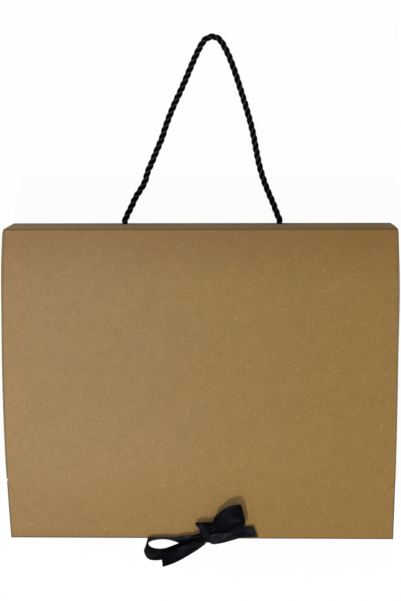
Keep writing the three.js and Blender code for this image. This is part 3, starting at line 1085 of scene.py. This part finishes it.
def laid_rope_nodes() -> NodeGroup:
    """Build the tree that lays strands round a line.

    Returns:
        The tree, with inputs for the strands' pitch, the radius that their middles turn on, their
        own radius, and the material.
    """
    group = NodeGroup("laid_rope")
    for name in ("Pitch", "Lay Radius", "Strand Radius"):
        group.size(name)
    group.size("Material", "NodeSocketMaterial")
    given = group.node("NodeGroupInput")
    strands = 3
    sides = 12
    normal = group.node("GeometryNodeInputNormal").outputs[0]
    tangent = group.node("GeometryNodeInputTangent").outputs[0]
    beside = group.vector("CROSS_PRODUCT", tangent, normal)
    along = group.value(group.node("GeometryNodeSplineParameter").outputs["Length"])
    turns = along / group.value(given.outputs["Pitch"])
    marked = group.store(given.outputs["Geometry"], "along", along)
    profile = ring_profile(group, sides, given.outputs["Strand Radius"])
    joined = group.node("GeometryNodeJoinGeometry")
    for strand in range(strands):
        angle = (turns + strand / strands) * FULL_TURN
        up = group.vector("SCALE", normal, scale=angle.maths("COSINE"))
        over = group.vector("SCALE", beside, scale=angle.sine())
        out = group.vector("ADD", up, over)
        aimed = group.store(marked, "out", out, "FLOAT_VECTOR")
        offset = group.vector("SCALE", out, scale=given.outputs["Lay Radius"])
        moved = group.node("GeometryNodeSetPosition", inputs={"Geometry": aimed, "Offset": offset})
        tube = group.node(
            "GeometryNodeCurveToMesh",
            inputs={"Curve": moved.outputs[0], "Profile Curve": profile, "Fill Caps": True},
        )
        group.feed(joined.inputs[0], tube.outputs[0])
    smooth = group.node(
        "GeometryNodeSetShadeSmooth", inputs={"Geometry": joined.outputs[0], "Shade Smooth": True}
    )
    real = group.node("GeometryNodeRealizeInstances", inputs={"Geometry": smooth.outputs[0]})
    dressed = group.node(
        "GeometryNodeSetMaterial",
        inputs={"Geometry": real.outputs[0], "Material": given.outputs["Material"]},
    )
    group.node("NodeGroupOutput", inputs={0: dressed.outputs[0]})
    return group


def ring_profile(group: NodeGroup, sides: int, radius: bpy.types.NodeSocket) -> bpy.types.NodeSocket:
    """Make a strand's round section, marked with the turn round it.

    Args:
        group: the tree.
        sides: how many sides the section has.
        radius: the section's radius.

    Returns:
        The section's curve.
    """
    ring = group.node(
        "GeometryNodeCurvePrimitiveCircle", {"mode": "RADIUS"}, {"Resolution": sides, "Radius": radius}
    ).outputs[0]
    place = group.node("GeometryNodeInputPosition").outputs[0]
    split = group.node("ShaderNodeSeparateXYZ", inputs={0: place})
    for name, output in zip(("front", "side"), split.outputs):
        ring = group.store(ring, name, group.value(output) / group.value(radius))
    return ring


# The rope leaves the left hole, drops to the table, lies in a pointed arch and comes back. These
# are its places across and along, and its heights where it isn't lying flat, in millimetres.
ROPE_TURNS = [
    (-70.5, 142.9), (-69.4, 146.8), (-66.9, 152.4), (-63.6, 158.9), (-60.5, 165.8), (-56.6, 172.0),
    (-52.8, 178.0), (-50.4, 184.0), (-48.8, 190.0), (-44.9, 198.6), (-40.3, 209.5), (-35.6, 220.4),
    (-32.0, 231.2), (-27.9, 242.0), (-23.2, 252.8), (-18.0, 263.6), (-13.2, 274.3), (-8.6, 285.0),
    (-3.8, 295.6), (1.2, 304.9), (5.4, 309.4), (11.2, 311.0), (16.4, 308.9), (19.8, 304.6),
    (24.6, 295.5), (28.9, 284.8), (32.6, 274.1), (36.0, 263.4), (39.4, 252.6), (42.6, 241.8),
    (45.6, 231.0), (48.0, 220.1), (50.0, 209.3), (52.2, 198.4), (55.1, 187.5), (58.9, 176.5),
    (62.8, 167.0), (65.9, 160.0), (68.3, 153.5), (71.0, 146.8), (71.9, 142.9),
]
ROPE_LEAVES = [7.0, 6.8, 5.2, 3.6, 3.1]
ROPE_RETURNS = [3.1, 3.7, 5.2, 6.8, 7.0]
ROPE_LIES = 3.0


def rope_route() -> list[Point]:
    """Give the places that the rope's middle passes through.

    Returns:
        The places in metres, from the left hole to the right one.
    """
    flat = len(ROPE_TURNS) - len(ROPE_LEAVES) - len(ROPE_RETURNS)
    heights = ROPE_LEAVES + [ROPE_LIES] * flat + ROPE_RETURNS
    return [(x * MM, y * MM, z * MM) for (x, y), z in zip(ROPE_TURNS, heights)]


@dataclass
class RopeHandle:
    """The twisted rope handle and the stopper knots that hold it in the hinge wall."""

    finish: RopeFinish
    diameter: float = 5 * MM
    pitch: float = 19.2 * MM
    strand_share: float = 0.285
    lay_share: float = 0.315
    step: float = 1.0 * MM
    hole_spacing: float = 142.4 * MM
    hole_offset: float = 0.7 * MM
    hole_height: float = 7 * MM
    knot_front: float = 140.7 * MM
    knot_length: float = 12 * MM
    knot_rope: float = 3.4 * MM
    core_share: float = 0.97
    wrap_radius: float = 3.45 * MM
    wraps: int = 3
    wrap_steps: int = 14
    tail: float = 7 * MM

    def build(self) -> list[bpy.types.Object]:
        """Make the handle and both knots.

        Returns:
            The pieces.
        """
        group = laid_rope_nodes()
        material = self.finish.material()
        handle = self.handle(group, material)
        knots = [
            self.knot(group, material, "rope_stopper_left", "rope_knot_left", -1),
            self.knot(group, material, "rope_stopper_right", "rope_knot_right", 1),
        ]
        return [handle, *knots]

    def lay(
        self, group: NodeGroup, material: bpy.types.Material, name: str, line: list[Vector], diameter: float
    ) -> bpy.types.Object:
        """Lay three strands along a line.

        Args:
            group: the rope's node tree.
            material: the rope's finish.
            name: the piece's name.
            line: the rope's middle line.
            diameter: the rope's diameter.

        Returns:
            The rope as a mesh.
        """
        data = bpy.data.curves.new(name + "_line", "CURVE")
        data.dimensions = "3D"
        data.twist_mode = "Z_UP"
        spline = data.splines.new("POLY")
        spline.points.add(len(line) - 1)
        for point, place in zip(spline.points, line):
            point.co = (*place, 1.0)
        source = add_object(name + "_line", data)
        sizes = {
            "Pitch": self.pitch * diameter / self.diameter,
            "Lay Radius": diameter * self.lay_share,
            "Strand Radius": diameter * self.strand_share,
            "Material": material,
        }
        return group.run(source, name, sizes)

    def handle(self, group: NodeGroup, material: bpy.types.Material) -> bpy.types.Object:
        """Make the handle's rope, from hole to hole.

        Args:
            group: the rope's node tree.
            material: the rope's finish.

        Returns:
            The handle.
        """
        route = rope_route()
        line = smooth_route(route, self.step)
        rope = self.lay(group, material, "rope_handle_laid", line, self.diameter)
        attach(rope, "tray")
        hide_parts("rope_handle")
        route_length(line)
        return rope

    def knot(
        self, group: NodeGroup, material: bpy.types.Material, name: str, node: str, side: int
    ) -> bpy.types.Object:
        """Make one stopper knot: the rope's end wrapped round itself, with its short tail.

        Args:
            group: the rope's node tree.
            material: the rope's finish.
            name: the piece's name.
            node: the board box's node that it stands for.
            side: -1 for the left hole and 1 for the right.

        Returns:
            The knot.
        """
        centre = Vector((self.hole_offset + side * self.hole_spacing / 2, 0.0, self.hole_height))
        front = self.knot_front
        back = front - self.knot_length
        stops = (front + BOARD, front, (front + back) / 2, back, back - self.tail)
        core = smooth_route([centre + Vector((0.0, y, 0.0)) for y in stops], self.step)
        inner = self.lay(group, material, name, core, self.diameter * self.core_share)
        start = front - self.knot_rope / 2
        climb = self.knot_length - self.knot_rope
        turns = []
        steps = self.wraps * self.wrap_steps
        for index in range(steps + 1):
            share = index / steps
            angle = FULL_TURN * self.wraps * share
            across = side * self.wrap_radius * math.sin(angle)
            turns.append(centre + Vector((across, start - climb * share, self.wrap_radius * math.cos(angle))))
        coil = smooth_route(turns, self.step)
        wrap = self.lay(group, material, name + "_wrap", coil, self.knot_rope)
        joined = merge([inner, wrap], name)
        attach(joined, "tray")
        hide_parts(node)
        return joined


def merge(parts: list[bpy.types.Object], name: str) -> bpy.types.Object:
    """Join mesh objects into the first one.

    Args:
        parts: the objects, which share their material.
        name: the joined piece's name.

    Returns:
        The joined piece.
    """
    body = bmesh.new()
    for part in parts:
        body.from_mesh(part.data)
    body.to_mesh(parts[0].data)
    body.free()
    for part in parts[1:]:
        bpy.data.objects.remove(part)
    parts[0].name = name
    return parts[0]


# The satin ribbon


@dataclass(frozen=True)
class Station:
    """One place along a ribbon: its middle, its lay across, and how far it is spread.

    The middle is in shares of the ribbon's width from the lid's edge at the bow. The painted shine
    says how much paler or darker the satin is here: a sheen painted into its colour, partly its rubbed face.
    """

    at: Point
    lay: Point
    spread: float
    shine: float = 0.0


@dataclass
class RibbonStrip:
    """A strip of satin led through stations, gathered where the knot grips it."""

    name: str
    node: str
    stations: list[Station]
    gather_start: float = 0.0
    gather_end: float = 0.0
    tuck: bool = False
    cup: float = 0.5 * MM
    folds: float = 2.5
    phase: float = 0.0
    width: float = RIBBON_WIDTH
    thickness: float = 0.35 * MM
    reach: float = 13 * MM
    wander: float = 0.35 * MM
    wander_scale: float = 90.0
    tuck_radius: float = 0.3 * MM
    columns: int = 28
    step: float = 0.9 * MM
    fewest_rows: int = 12
    origin: Point = (3 * MM, -HALF_LENGTH, LID_TOP)

    def rows(self) -> list[tuple[Vector, Vector, float, float]]:
        """Sample the strip's middle, its unit lay, its spread and its painted shine at even steps.

        Returns:
            One row for each step along the strip.
        """
        middles = [Vector(station.at) * self.width + Vector(self.origin) for station in self.stations]
        count = max(self.fewest_rows, round(route_length(middles) / self.step))
        middle_line = SmoothLine(middles)
        lay_line = SmoothLine([station.lay for station in self.stations])
        satin_line = SmoothLine([(station.spread, station.shine, 0.0) for station in self.stations])
        rows = []
        for index in range(count + 1):
            share = index / count
            satin = satin_line.at(share)
            rows.append((middle_line.at(share), lay_line.at(share).normalized(), satin.x, satin.y))
        return rows

    def build(self, material: bpy.types.Material, body_name: str) -> bpy.types.Object:
        """Make the strip as a mesh with a thickness.

        Args:
            material: the satin.
            body_name: the body that the strip rides on.

        Returns:
            The strip.
        """
        rows = self.rows()
        line = [row[0] for row in rows]
        length = route_length(line)
        body = new_layer()
        # Each point keeps its painted shine, the sheen painted into the satin there.
        sheen_and_rub = body.verts.layers.float.new("shine")
        grid = []
        spots = []
        walked = 0.0
        for index, (middle, lay, spread, shine) in enumerate(rows):
            if index:
                walked += (line[index] - line[index - 1]).length
            ahead = line[min(index + 1, len(line) - 1)] - line[max(index - 1, 0)]
            normal = ahead.cross(lay).normalized()
            grip = self.grip(walked, length - walked)
            down = length * index / (len(rows) - 1)
            spots.append([(down, arc - self.width / 2) for arc in self.arcs(spread)])
            places = self.tucked(spread) if self.tuck else self.gathered(spread, grip)
            row = []
            for across, out in places:
                place = middle + lay * across
                wander = noise.noise(place * self.wander_scale) * self.wander
                row.append(body.verts.new(place + normal * (out + wander)))
                row[-1][sheen_and_rub] = shine
            grid.append(row)
        cover(body, grid, spots)
        return finish_sheet(
            body, self.name, material, self.thickness, body_name, self.node
        )

    def grip(self, walked: float, left: float) -> float:
        """Give the depth of the pleats at a distance from the strip's start and from its end."""
        start, end = (math.exp(-distance / self.reach) for distance in (walked, left))
        return max(self.gather_start * start, self.gather_end * end)

    def arcs(self, spread: float) -> list[float]:
        """Measure each column's distance across the cloth.

        Args:
            spread: the strip's spread as a share of its width.

        Returns:
            The distances from the first edge, along the cloth.
        """
        if not self.tuck:
            return [self.width * column / self.columns for column in range(self.columns + 1)]
        shown = spread * self.width
        top = self.columns // 2
        rest = self.columns - top
        over = [shown * column / top for column in range(top)]
        return over + [shown + (self.width - shown) * column / rest for column in range(rest + 1)]

    def gathered(self, spread: float, grip: float) -> list[tuple[float, float]]:
        """Place one row across a strip that is gathered in small pleats.

        Args:
            spread: the strip's spread as a share of its width.
            grip: the depth of the pleats here.

        Returns:
            For each column, the distance along the lay and out of the cloth.
        """
        places = []
        for column in range(self.columns + 1):
            share = 2 * column / self.columns - 1
            pleat = math.cos(math.pi * self.folds * share + self.phase) * grip
            cup = (share * share - 0.5) * self.cup * (1 - min(1.0, grip / MM))
            places.append((share * spread * self.width / 2, pleat + cup))
        return places

    def tucked(self, spread: float) -> list[tuple[float, float]]:
        """Place one row across a strip whose far edge is folded under.

        Args:
            spread: the strip's spread as a share of its width.

        Returns:
            For each column, the distance along the lay and out of the cloth.
        """
        shown = spread * self.width
        places = []
        for arc in self.arcs(spread):
            extra = max(0.0, arc - shown)
            turn = min(1.0, extra / (math.pi * self.tuck_radius)) * math.pi
            straight = max(0.0, extra - math.pi * self.tuck_radius)
            across = min(arc, shown) - shown / 2 + self.tuck_radius * math.sin(turn) - straight
            crown = math.sin(math.pi * min(arc, shown) / shown) * self.cup
            places.append((across, crown - self.tuck_radius * (1 - math.cos(turn))))
        return places


class SmoothLine:
    """A smooth line through points, asked for by the share of the points passed."""

    def __init__(self, points: list[Point | Vector]) -> None:
        """Hold the points and mirror one past each end.

        Args:
            points: the points that the line passes through.
        """
        places = [Vector(point) for point in points]
        self.knots = [places[0] * 2 - places[1], *places, places[-1] * 2 - places[-2]]
        self.spans = len(points) - 1

    def at(self, share: float) -> Vector:
        """Find a point of the line.

        Args:
            share: the share of the line walked, from 0 to 1.

        Returns:
            The point.
        """
        walked = min(share * self.spans, self.spans - 1e-9)
        span = int(walked)
        return catmull_rom(*self.knots[span : span + 4], walked - span)


def new_layer() -> bmesh.types.BMesh:
    """Start a single layer of ribbon, whose UV map gives metres along and across it.

    Returns:
        The empty layer.
    """
    body = bmesh.new()
    body.loops.layers.uv.new("ribbon")
    return body


def cover(
    body: bmesh.types.BMesh,
    grid: list[list[bmesh.types.BMVert]],
    spots: list[list[tuple[float, float]]],
) -> None:
    """Fill the faces between neighbouring rows of points.

    Args:
        body: the layer.
        grid: the rows of points.
        spots: for each point, its metres along and across the ribbon.
    """
    sheet = body.loops.layers.uv["ribbon"]
    for index in range(len(grid) - 1):
        for column in range(len(grid[index]) - 1):
            corners = [(index, column), (index, column + 1), (index + 1, column + 1), (index + 1, column)]
            face = body.faces.new([grid[r][c] for r, c in corners])
            face.smooth = True
            for loop, (r, c) in zip(face.loops, corners):
                loop[sheet].uv = spots[r][c]


def finish_sheet(
    body: bmesh.types.BMesh,
    name: str,
    material: bpy.types.Material,
    thickness: float,
    body_name: str,
    node: str,
) -> bpy.types.Object:
    """Turn a single layer of cloth into a piece with a thickness.

    Args:
        body: the layer.
        name: the piece's name.
        material: the satin.
        thickness: the cloth's thickness.
        body_name: the body that it rides on.
        node: the node that it stands for.

    Returns:
        The piece.
    """
    mesh = bpy.data.meshes.new(name)
    body.to_mesh(mesh)
    body.free()
    piece = add_object(name, mesh)
    mesh.materials.append(material)
    solid = piece.modifiers.new("thickness", "SOLIDIFY")
    solid.thickness = thickness
    solid.offset = 0.0
    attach(piece, body_name)
    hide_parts(node)
    return piece


@dataclass
class SatinBow:
    """The bow at the lid's free edge: a knot, two loops and two tails."""

    finish: SatinFinish
    gather: float = 1.0 * MM
    tail_gather: float = 0.7 * MM

    def build(self) -> list[bpy.types.Object]:
        """Make the bow's strips and its knot.

        Returns:
            The pieces.
        """
        material = self.finish.material()
        pieces = [strip.build(material, "lid") for strip in self.strips()]
        pieces.append(BowKnot().build(material))
        pieces += RibbonLeads().build(material)
        return pieces

    def strips(self) -> list[RibbonStrip]:
        """Describe the loops and the tails.

        Returns:
            The strips, each with its stations from the knot outwards.
        """
        loop_left = [
            Station((-0.1, 0.2, 0.16), (0, 1, 0), 0.42, 0.3),
            Station((-0.28, 0.1, 0.1), (0, 1, 0), 0.4, 0.3),
            Station((-0.45, 0.04, 0.1), (0, 0.99, 0.1), 0.42, 0.6),
            Station((-0.87, -0.07, 0.13), (0.04, 0.95, 0.3), 0.6, 1.6),
            Station((-1.46, -0.13, -0.22), (0.07, 0.53, 0.85), 0.96, 1.2),
            Station((-2.04, -0.075, -0.24), (0.05, 0.4, 0.915), 0.98, 0.6),
            Station((-2.54, -0.12, -0.26), (0.08, 0.42, 0.9), 1, 0.2),
            Station((-2.87, -0.2, -0.25), (0.1, 0.54, 0.83), 1),
            Station((-3.01, -0.43, -0.2), (0.22, 0.8, 0.55), 1, -0.1),
            Station((-2.81, -0.82, -0.18), (0.1, 0.85, 0.52), 1, -0.25),
            Station((-2.17, -0.87, -0.17), (0.05, 0.8, 0.6), 1, -0.25),
            Station((-1.28, -0.53, -0.03), (0, 0.8, 0.6), 1, -0.1),
            Station((-0.383, 0.03, 0.23), (0, 0.85, 0.5), 0.55),
            Station((-0.1, 0.12, 0.26), (0, 0.85, 0.5), 0.42),
        ]
        loop_right = [
            Station((0.1, 0.4, 0.16), (0, 1, 0), 0.42),
            Station((0.383, 0.54, 0.17), (0, 1, 0), 0.45),
            Station((0.59, 0.7, 0.17), (-0.17, 0.98, 0), 0.74),
            Station((1.08, 0.84, 0.15), (-0.1, 0.99, -0.03), 0.95),
            Station((1.55, 1, 0.16), (-0.13, 0.99, -0.02), 0.98),
            Station((1.97, 1.36, 0.31), (-0.2, 0.98, 0.03), 1.02, -0.1),
            Station((1.64, 1.47, 0.49), (-0.14, 0.99, 0.02), 0.93, -0.15),
            Station((1.18, 1.3, 0.49), (-0.18, 0.98, 0.02), 0.95, -0.15),
            Station((0.68, 0.98, 0.44), (-0.28, 0.96, 0.03), 0.75, -0.25),
            Station((0.383, 0.72, 0.36), (0, 1, 0), 0.5, -0.1),
            Station((0.1, 0.55, 0.3), (0, 1, 0), 0.42),
        ]
        tail_left = [
            Station((0.05, 0.0, 0.3), (0, 0.85, 0.5), 0.58),
            Station((-0.383, -0.24, 0.3), (0, 0.85, 0.5), 0.83, -0.1),
            Station((-0.94, -0.55, 0.28), (0, 0.86, 0.5), 0.96, -0.1),
            Station((-1.61, -0.91, 0.14), (0, 0.88, 0.47), 1, -0.35),
            Station((-2.19, -1.08, 0.08), (-0.06, 0.93, 0.36), 1, -0.4),
        ]
        tail_right = [
            Station((0.1, 0.1, 0.12), (0, 1, 0), 0.42, 0.2),
            Station((0.28, 0.07, 0.1), (0, 1, 0), 0.55, 0.8),
            Station((0.45, 0.07, 0.08), (0, 1, 0.03), 0.68, 1.4),
            Station((0.89, 0.16, 0.06), (-0.03, 0.99, 0.03), 0.74, 1.5),
            Station((1.36, 0.26, 0.06), (-0.07, 0.99, 0.03), 0.66, 0.6),
            Station((1.87, 0.35, 0.08), (-0.11, 0.99, 0.09), 0.56, 0.3),
            Station((2.58, 0.4, 0.1), (-0.38, 0.91, 0.16), 0.6, 1.5),
        ]
        grip = self.gather
        return [
            RibbonStrip("bow_loop_left_satin", "bow_loop_left", loop_left, grip, grip),
            RibbonStrip("bow_loop_right_satin", "bow_loop_right", loop_right, grip, grip, phase=1.2),
            RibbonStrip("bow_tail_left_satin", "bow_tail_left", tail_left, self.tail_gather, phase=0.6),
            RibbonStrip("bow_tail_right_satin", "bow_tail_right", tail_right, tuck=True),
        ]


@dataclass
class BowKnot:
    """The ribbon wrapped once round the bow's middle, gathered into lengthwise folds.

    The wrap is broad towards the hinge, where its corner stands out on the left, and narrows
    to where the tails part at the front.
    """

    back: float = -126.0 * MM
    front: float = -144.2 * MM
    base: float = 50.4 * MM
    crown: float = 58.6 * MM
    ribbon: float = RIBBON_WIDTH
    thickness: float = 0.35 * MM
    folds: float = 4.0
    fold_depth: float = 0.5 * MM
    fold_phase: float = 0.9
    fold_drift: float = 0.5
    squareness: float = 2.7
    bulge: float = 0.3 * MM
    shoulder: float = 1.6 * MM
    tuck_depth: float = 0.8 * MM
    tuck_share: float = 0.8
    rings: int = 96
    shown_columns: int = 26
    tuck_columns: int = 5

    def sides(self) -> tuple[SmoothLine, SmoothLine]:
        """Give the wrap's left and right sides, as millimetres along x from the front to the back.

        Returns:
            The left and the right side.
        """
        left = [(x, 0.0, 0.0) for x in (3.4, 1.0, -0.6, -1.6, -5.2)]
        right = [(x, 0.0, 0.0) for x in (6.6, 7.4, 7.8, 8.4, 9.0)]
        return SmoothLine(left), SmoothLine(right)

    def build(self, material: bpy.types.Material) -> bpy.types.Object:
        """Make the wrap as a closed band.

        Args:
            material: the satin.

        Returns:
            The knot.
        """
        body = new_layer()
        sides = self.sides()
        rings = [self.ring(body, FULL_TURN * index / self.rings, sides) for index in range(self.rings)]
        rings.append(rings[0])
        middle = [points[len(points) // 2].co for points, _ in rings]
        around = route_length(middle)
        spots = []
        for index, (_, arcs) in enumerate(rings):
            spots.append([(around * index / self.rings, arc) for arc in arcs])
        cover(body, [points for points, _ in rings], spots)
        return finish_sheet(
            body, "bow_knot_satin", material, self.thickness, "lid", "bow_knot"
        )

    def section(self, shown: float) -> list[tuple[float, float, float]]:
        """Lay the ribbon across the wrap, with the width that doesn't show tucked under its sides.

        Args:
            shown: the width that shows.

        Returns:
            For each column, the distance from the left side, the depth under the top layer, and
            the distance from the ribbon's middle along the cloth.
        """
        tucked = min((self.ribbon - shown) / 2, shown * self.tuck_share)
        section = []
        for column in range(self.tuck_columns):
            share = 1 - column / self.tuck_columns
            section.append((tucked * share, self.tuck_depth, -shown / 2 - tucked * share))
        for column in range(self.shown_columns + 1):
            share = column / self.shown_columns
            section.append((shown * share, 0.0, shown * (share - 0.5)))
        for column in range(self.tuck_columns):
            share = (column + 1) / self.tuck_columns
            section.append((shown - tucked * share, self.tuck_depth, shown / 2 + tucked * share))
        return section

    def ring(
        self, body: bmesh.types.BMesh, angle: float, sides: tuple[SmoothLine, SmoothLine]
    ) -> tuple[list[bmesh.types.BMVert], list[float]]:
        """Place the points across the band at one angle round the bow.

        Args:
            body: the mesh.
            angle: 0 at the end towards the hinge, a quarter turn at the top.
            sides: the band's left and right sides.

        Returns:
            The new points, and each one's distance from the ribbon's middle.
        """
        cosine = math.cos(angle)
        sine = math.sin(angle)
        squared = 2 / self.squareness
        y = math.copysign(abs(cosine) ** squared, cosine)
        z = math.copysign(abs(sine) ** squared, sine)
        towards_hinge = min(1.0, max(0.0, (y + 1) / 2))
        left = sides[0].at(towards_hinge).x * MM
        shown = sides[1].at(towards_hinge).x * MM - left
        middle_y, half_length = (self.back + self.front) / 2, (self.back - self.front) / 2
        middle_z, half_height = (self.crown + self.base) / 2, (self.crown - self.base) / 2
        points = []
        arcs = []
        for across, depth, arc in self.section(shown):
            share = across / shown
            fold = math.cos(math.pi * self.folds * share + self.fold_phase + self.fold_drift * y)
            out = fold * self.fold_depth - self.shoulder * abs(2 * share - 1) ** 4 - depth
            if z < 0:
                out = -depth
            along = middle_y + y * (half_length + min(out, self.bulge))
            points.append(body.verts.new((left + across, along, middle_z + z * (half_height + out))))
            arcs.append(arc)
        return points, arcs


@dataclass
class RibbonLeads:
    """The two ribbons that come out from under the lid and out of the tray to the bow."""

    middle: float = 3 * MM
    width: float = RIBBON_WIDTH
    thickness: float = 0.4 * MM
    bend: float = 0.9 * MM
    columns: int = 16

    def build(self, material: bpy.types.Material) -> list[bpy.types.Object]:
        """Make both leads.

        Args:
            material: the satin.

        Returns:
            The leads.
        """
        lid = [(-103.0, 48.2), (-143.1, 48.2), (-143.1, 49.9)]
        tray = [(-140.7, 11.2), (-140.7, 39.0), (-144.0, 39.0), (-144.0, 49.9)]
        return [
            self.lead("ribbon_lid_satin", "ribbon_lid", "lid", lid, material),
            self.lead("ribbon_tray_satin", "ribbon_tray", "tray", tray, material),
        ]

    def lead(
        self,
        name: str,
        node: str,
        body_name: str,
        corners: list[tuple[float, float]],
        material: bpy.types.Material,
    ) -> bpy.types.Object:
        """Make one lead from its side view.

        Args:
            name: the piece's name.
            node: the node that it stands for.
            body_name: the body that it rides on.
            corners: the corners of its side view as y and z in millimetres.
            material: the satin.

        Returns:
            The lead.
        """
        line = rounded([Vector((0.0, y * MM, z * MM)) for y, z in corners], self.bend)
        length = route_length(line)
        across = [self.width * (column / self.columns - 0.5) for column in range(self.columns + 1)]
        body = new_layer()
        grid = []
        spots = []
        for index, place in enumerate(line):
            walked = route_length(line[: index + 1])
            grid.append([body.verts.new(place + Vector((self.middle + x, 0.0, 0.0))) for x in across])
            spots.append([(walked, x) for x in across])
        cover(body, grid, spots)
        return finish_sheet(body, name, material, self.thickness, body_name, node)


def rounded(corners: list[Vector], radius: float) -> list[Vector]:
    """Round the inner corners of a line of straight stretches.

    Args:
        corners: the line's corners.
        radius: the distance from a corner at which its bend begins.

    Returns:
        The line's points.
    """
    bend_steps = 5
    points = [corners[0]]
    for before, corner, after in zip(corners, corners[1:], corners[2:]):
        start = corner + (before - corner).normalized() * radius
        end = corner + (after - corner).normalized() * radius
        for index in range(bend_steps + 1):
            share = index / bend_steps
            points.append(start.lerp(corner, share).lerp(corner.lerp(end, share), share))
    points.append(corners[-1])
    return points


# The board


@dataclass
class BoardBox:
    """The tray and lid of kraft board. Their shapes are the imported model's own."""

    finish: KraftFinish

    def build(self) -> list[bpy.types.Object]:
        """Dress every board part.

        Returns:
            The parts.
        """
        parts = [
            (Facing.Z, PaintedShade.LID, ["lid_panel"]),
            (Facing.Z, PaintedShade.INSIDE, ["lid_front_hem", "back_panel"]),
            (Facing.Y, PaintedShade.HINGE_WALL, ["hinge_wall"]),
            (Facing.Y, PaintedShade.WALL, ["front_wall_outer"]),
            (Facing.Y, PaintedShade.INSIDE, ["front_wall_inner", "lid_tuck_flap"]),
            (Facing.X, PaintedShade.WALL, self.pairs("side_wall_outer", "lid_rim")),
            (Facing.X, PaintedShade.INSIDE, self.pairs("side_wall_inner", "corner_flap_hinge", "corner_flap_front")),
        ]
        return [self.dress(name, facing, wear_and_shade) for facing, wear_and_shade, names in parts for name in names]

    def pairs(self, *names: str) -> list[str]:
        """Name the left and the right one of parts that come in pairs."""
        return [f"{name}_{side}" for name in names for side in ("left", "right")]

    def dress(self, name: str, facing: Facing, wear_and_shade: PaintedShade) -> bpy.types.Object:
        """Give one board part its kraft material.

        Args:
            name: the part's node.
            facing: the axis that its thickness lies along.
            wear_and_shade: how its liner has aged.

        Returns:
            The part.
        """
        low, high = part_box(name)
        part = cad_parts[name]
        material = self.finish.material(facing, wear_and_shade, low[facing.value], high[facing.value])
        part.data.materials.clear()
        part.data.materials.append(material)
        return part


# The right fold begins here, over the small relief in the lid's edge.
OVER_RELIEF = -89.2 * MM


@dataclass
class RimFold:
    """The liner that runs round the crease between the lid and one of its rims.

    The crease is rolled a little outwards, most of all near the hinge.
    """

    finish: KraftFinish
    side: str
    sign: float
    belly: float
    roll: float
    roll_peak: float
    roll_at: float
    roll_spread: float = 42 * MM
    front: float = -85.6 * MM
    back: float = 142.1 * MM
    front_taper: float = 6 * MM
    back_taper: float = 3 * MM
    lid_end: float = 48.5 * MM
    rim_start: float = 48.2 * MM
    skin: float = 0.04 * MM
    rows: int = 90
    turns: int = 9

    def build(self) -> list[bpy.types.Object]:
        """Make the fold.

        Returns:
            The fold, alone in a list.
        """
        body = bmesh.new()
        rings = [self.ring(body, index / self.rows) for index in range(self.rows + 1)]
        for first, second in zip(rings, rings[1:]):
            for index in range(len(first)):
                after = (index + 1) % len(first)
                face = body.faces.new([first[index], first[after], second[after], second[index]])
                face.smooth = True
        body.faces.new(rings[0])
        body.faces.new(reversed(rings[-1]))
        bmesh.ops.recalc_face_normals(body, faces=body.faces)
        name = f"lid_fold_{self.side}"
        mesh = bpy.data.meshes.new(name)
        body.to_mesh(mesh)
        body.free()
        mesh.materials.append(self.finish.material(Facing.Z, PaintedShade.FOLD, self.lid_end, LID_TOP))
        fold = add_object(name, mesh)
        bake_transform(fold)
        return [fold]

    def ring(self, body: bmesh.types.BMesh, share: float) -> list[bmesh.types.BMVert]:
        """Place the points round the fold at one distance along the crease.

        Args:
            body: the mesh.
            share: 0 at the fold's front end and 1 at the hinge.

        Returns:
            The new points.
        """
        y = self.front + (self.back - self.front) * share
        edge = HALF_WIDTH + self.belly * (1.0 - (y / HALF_LENGTH) ** 2)
        near = math.exp(-(((y - self.roll_at) / self.roll_spread) ** 2))
        taper = min(1.0, (y - self.front) / self.front_taper, (self.back - y) / self.back_taper)
        roll = (self.roll + self.roll_peak * near) * math.sqrt(max(0.0, taper))
        return [body.verts.new((self.sign * (edge + out), y, z)) for out, z in self.section(roll)]

    def section(self, roll: float) -> list[tuple[float, float]]:
        """Draw the fold's section, from the lid's top round the outside and back up inside.

        Args:
            roll: how far the crease is rolled outwards.

        Returns:
            The distances out of the lid's edge, and the heights.
        """
        step = (self.rim_start - self.lid_end) / self.turns
        bend = [self.lid_end + step * turn for turn in range(self.turns + 1)]
        over = [(-0.8 * MM, 50.02 * MM), (roll * 0.35, 50.01 * MM), (roll * 0.8, 49.8 * MM)]
        outside = [(roll, 49.3 * MM), *[(roll + self.skin, z) for z in bend]]
        under = [(roll * 0.7 + self.skin, 47.7 * MM), (roll * 0.25 + self.skin, 47.1 * MM)]
        under += [(self.skin, 46.5 * MM), (-0.4 * MM, 46.5 * MM), (-1.2 * MM, 47.6 * MM)]
        inside = [(-1.35 * MM, z) for z in reversed(bend)]
        return over + outside + under + inside + [(-1.0 * MM, 49.4 * MM)]


def main() -> None:
    """Build the studio and the gift box, piece by piece."""
    logging.basicConfig(level=logging.INFO, format="%(name)s: %(message)s")
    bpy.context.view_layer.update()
    scene = bpy.context.scene
    scene.view_settings.view_transform = "Standard"
    StudioCamera().build()
    kraft = KraftFinish()
    left_fold = RimFold(
        kraft, "left", -1.0, BELLY_LEFT, roll=0.35 * MM, roll_peak=0.95 * MM, roll_at=112 * MM
    )
    right_fold = RimFold(
        kraft,
        "right",
        1.0,
        BELLY_RIGHT,
        roll=0.25 * MM,
        roll_peak=1.0 * MM,
        roll_at=88 * MM,
        front=OVER_RELIEF,
    )
    builders = [RopeHandle(RopeFinish()), SatinBow(SatinFinish()), BoardBox(kraft), left_fold, right_fold]
    for builder in builders:
        for piece in builder.build():
            LOG.info("%s: %d faces", piece.name, len(piece.data.polygons))
    StudioFloor().build()
    StudioLights().build()


if __name__ == "__main__":
    main()
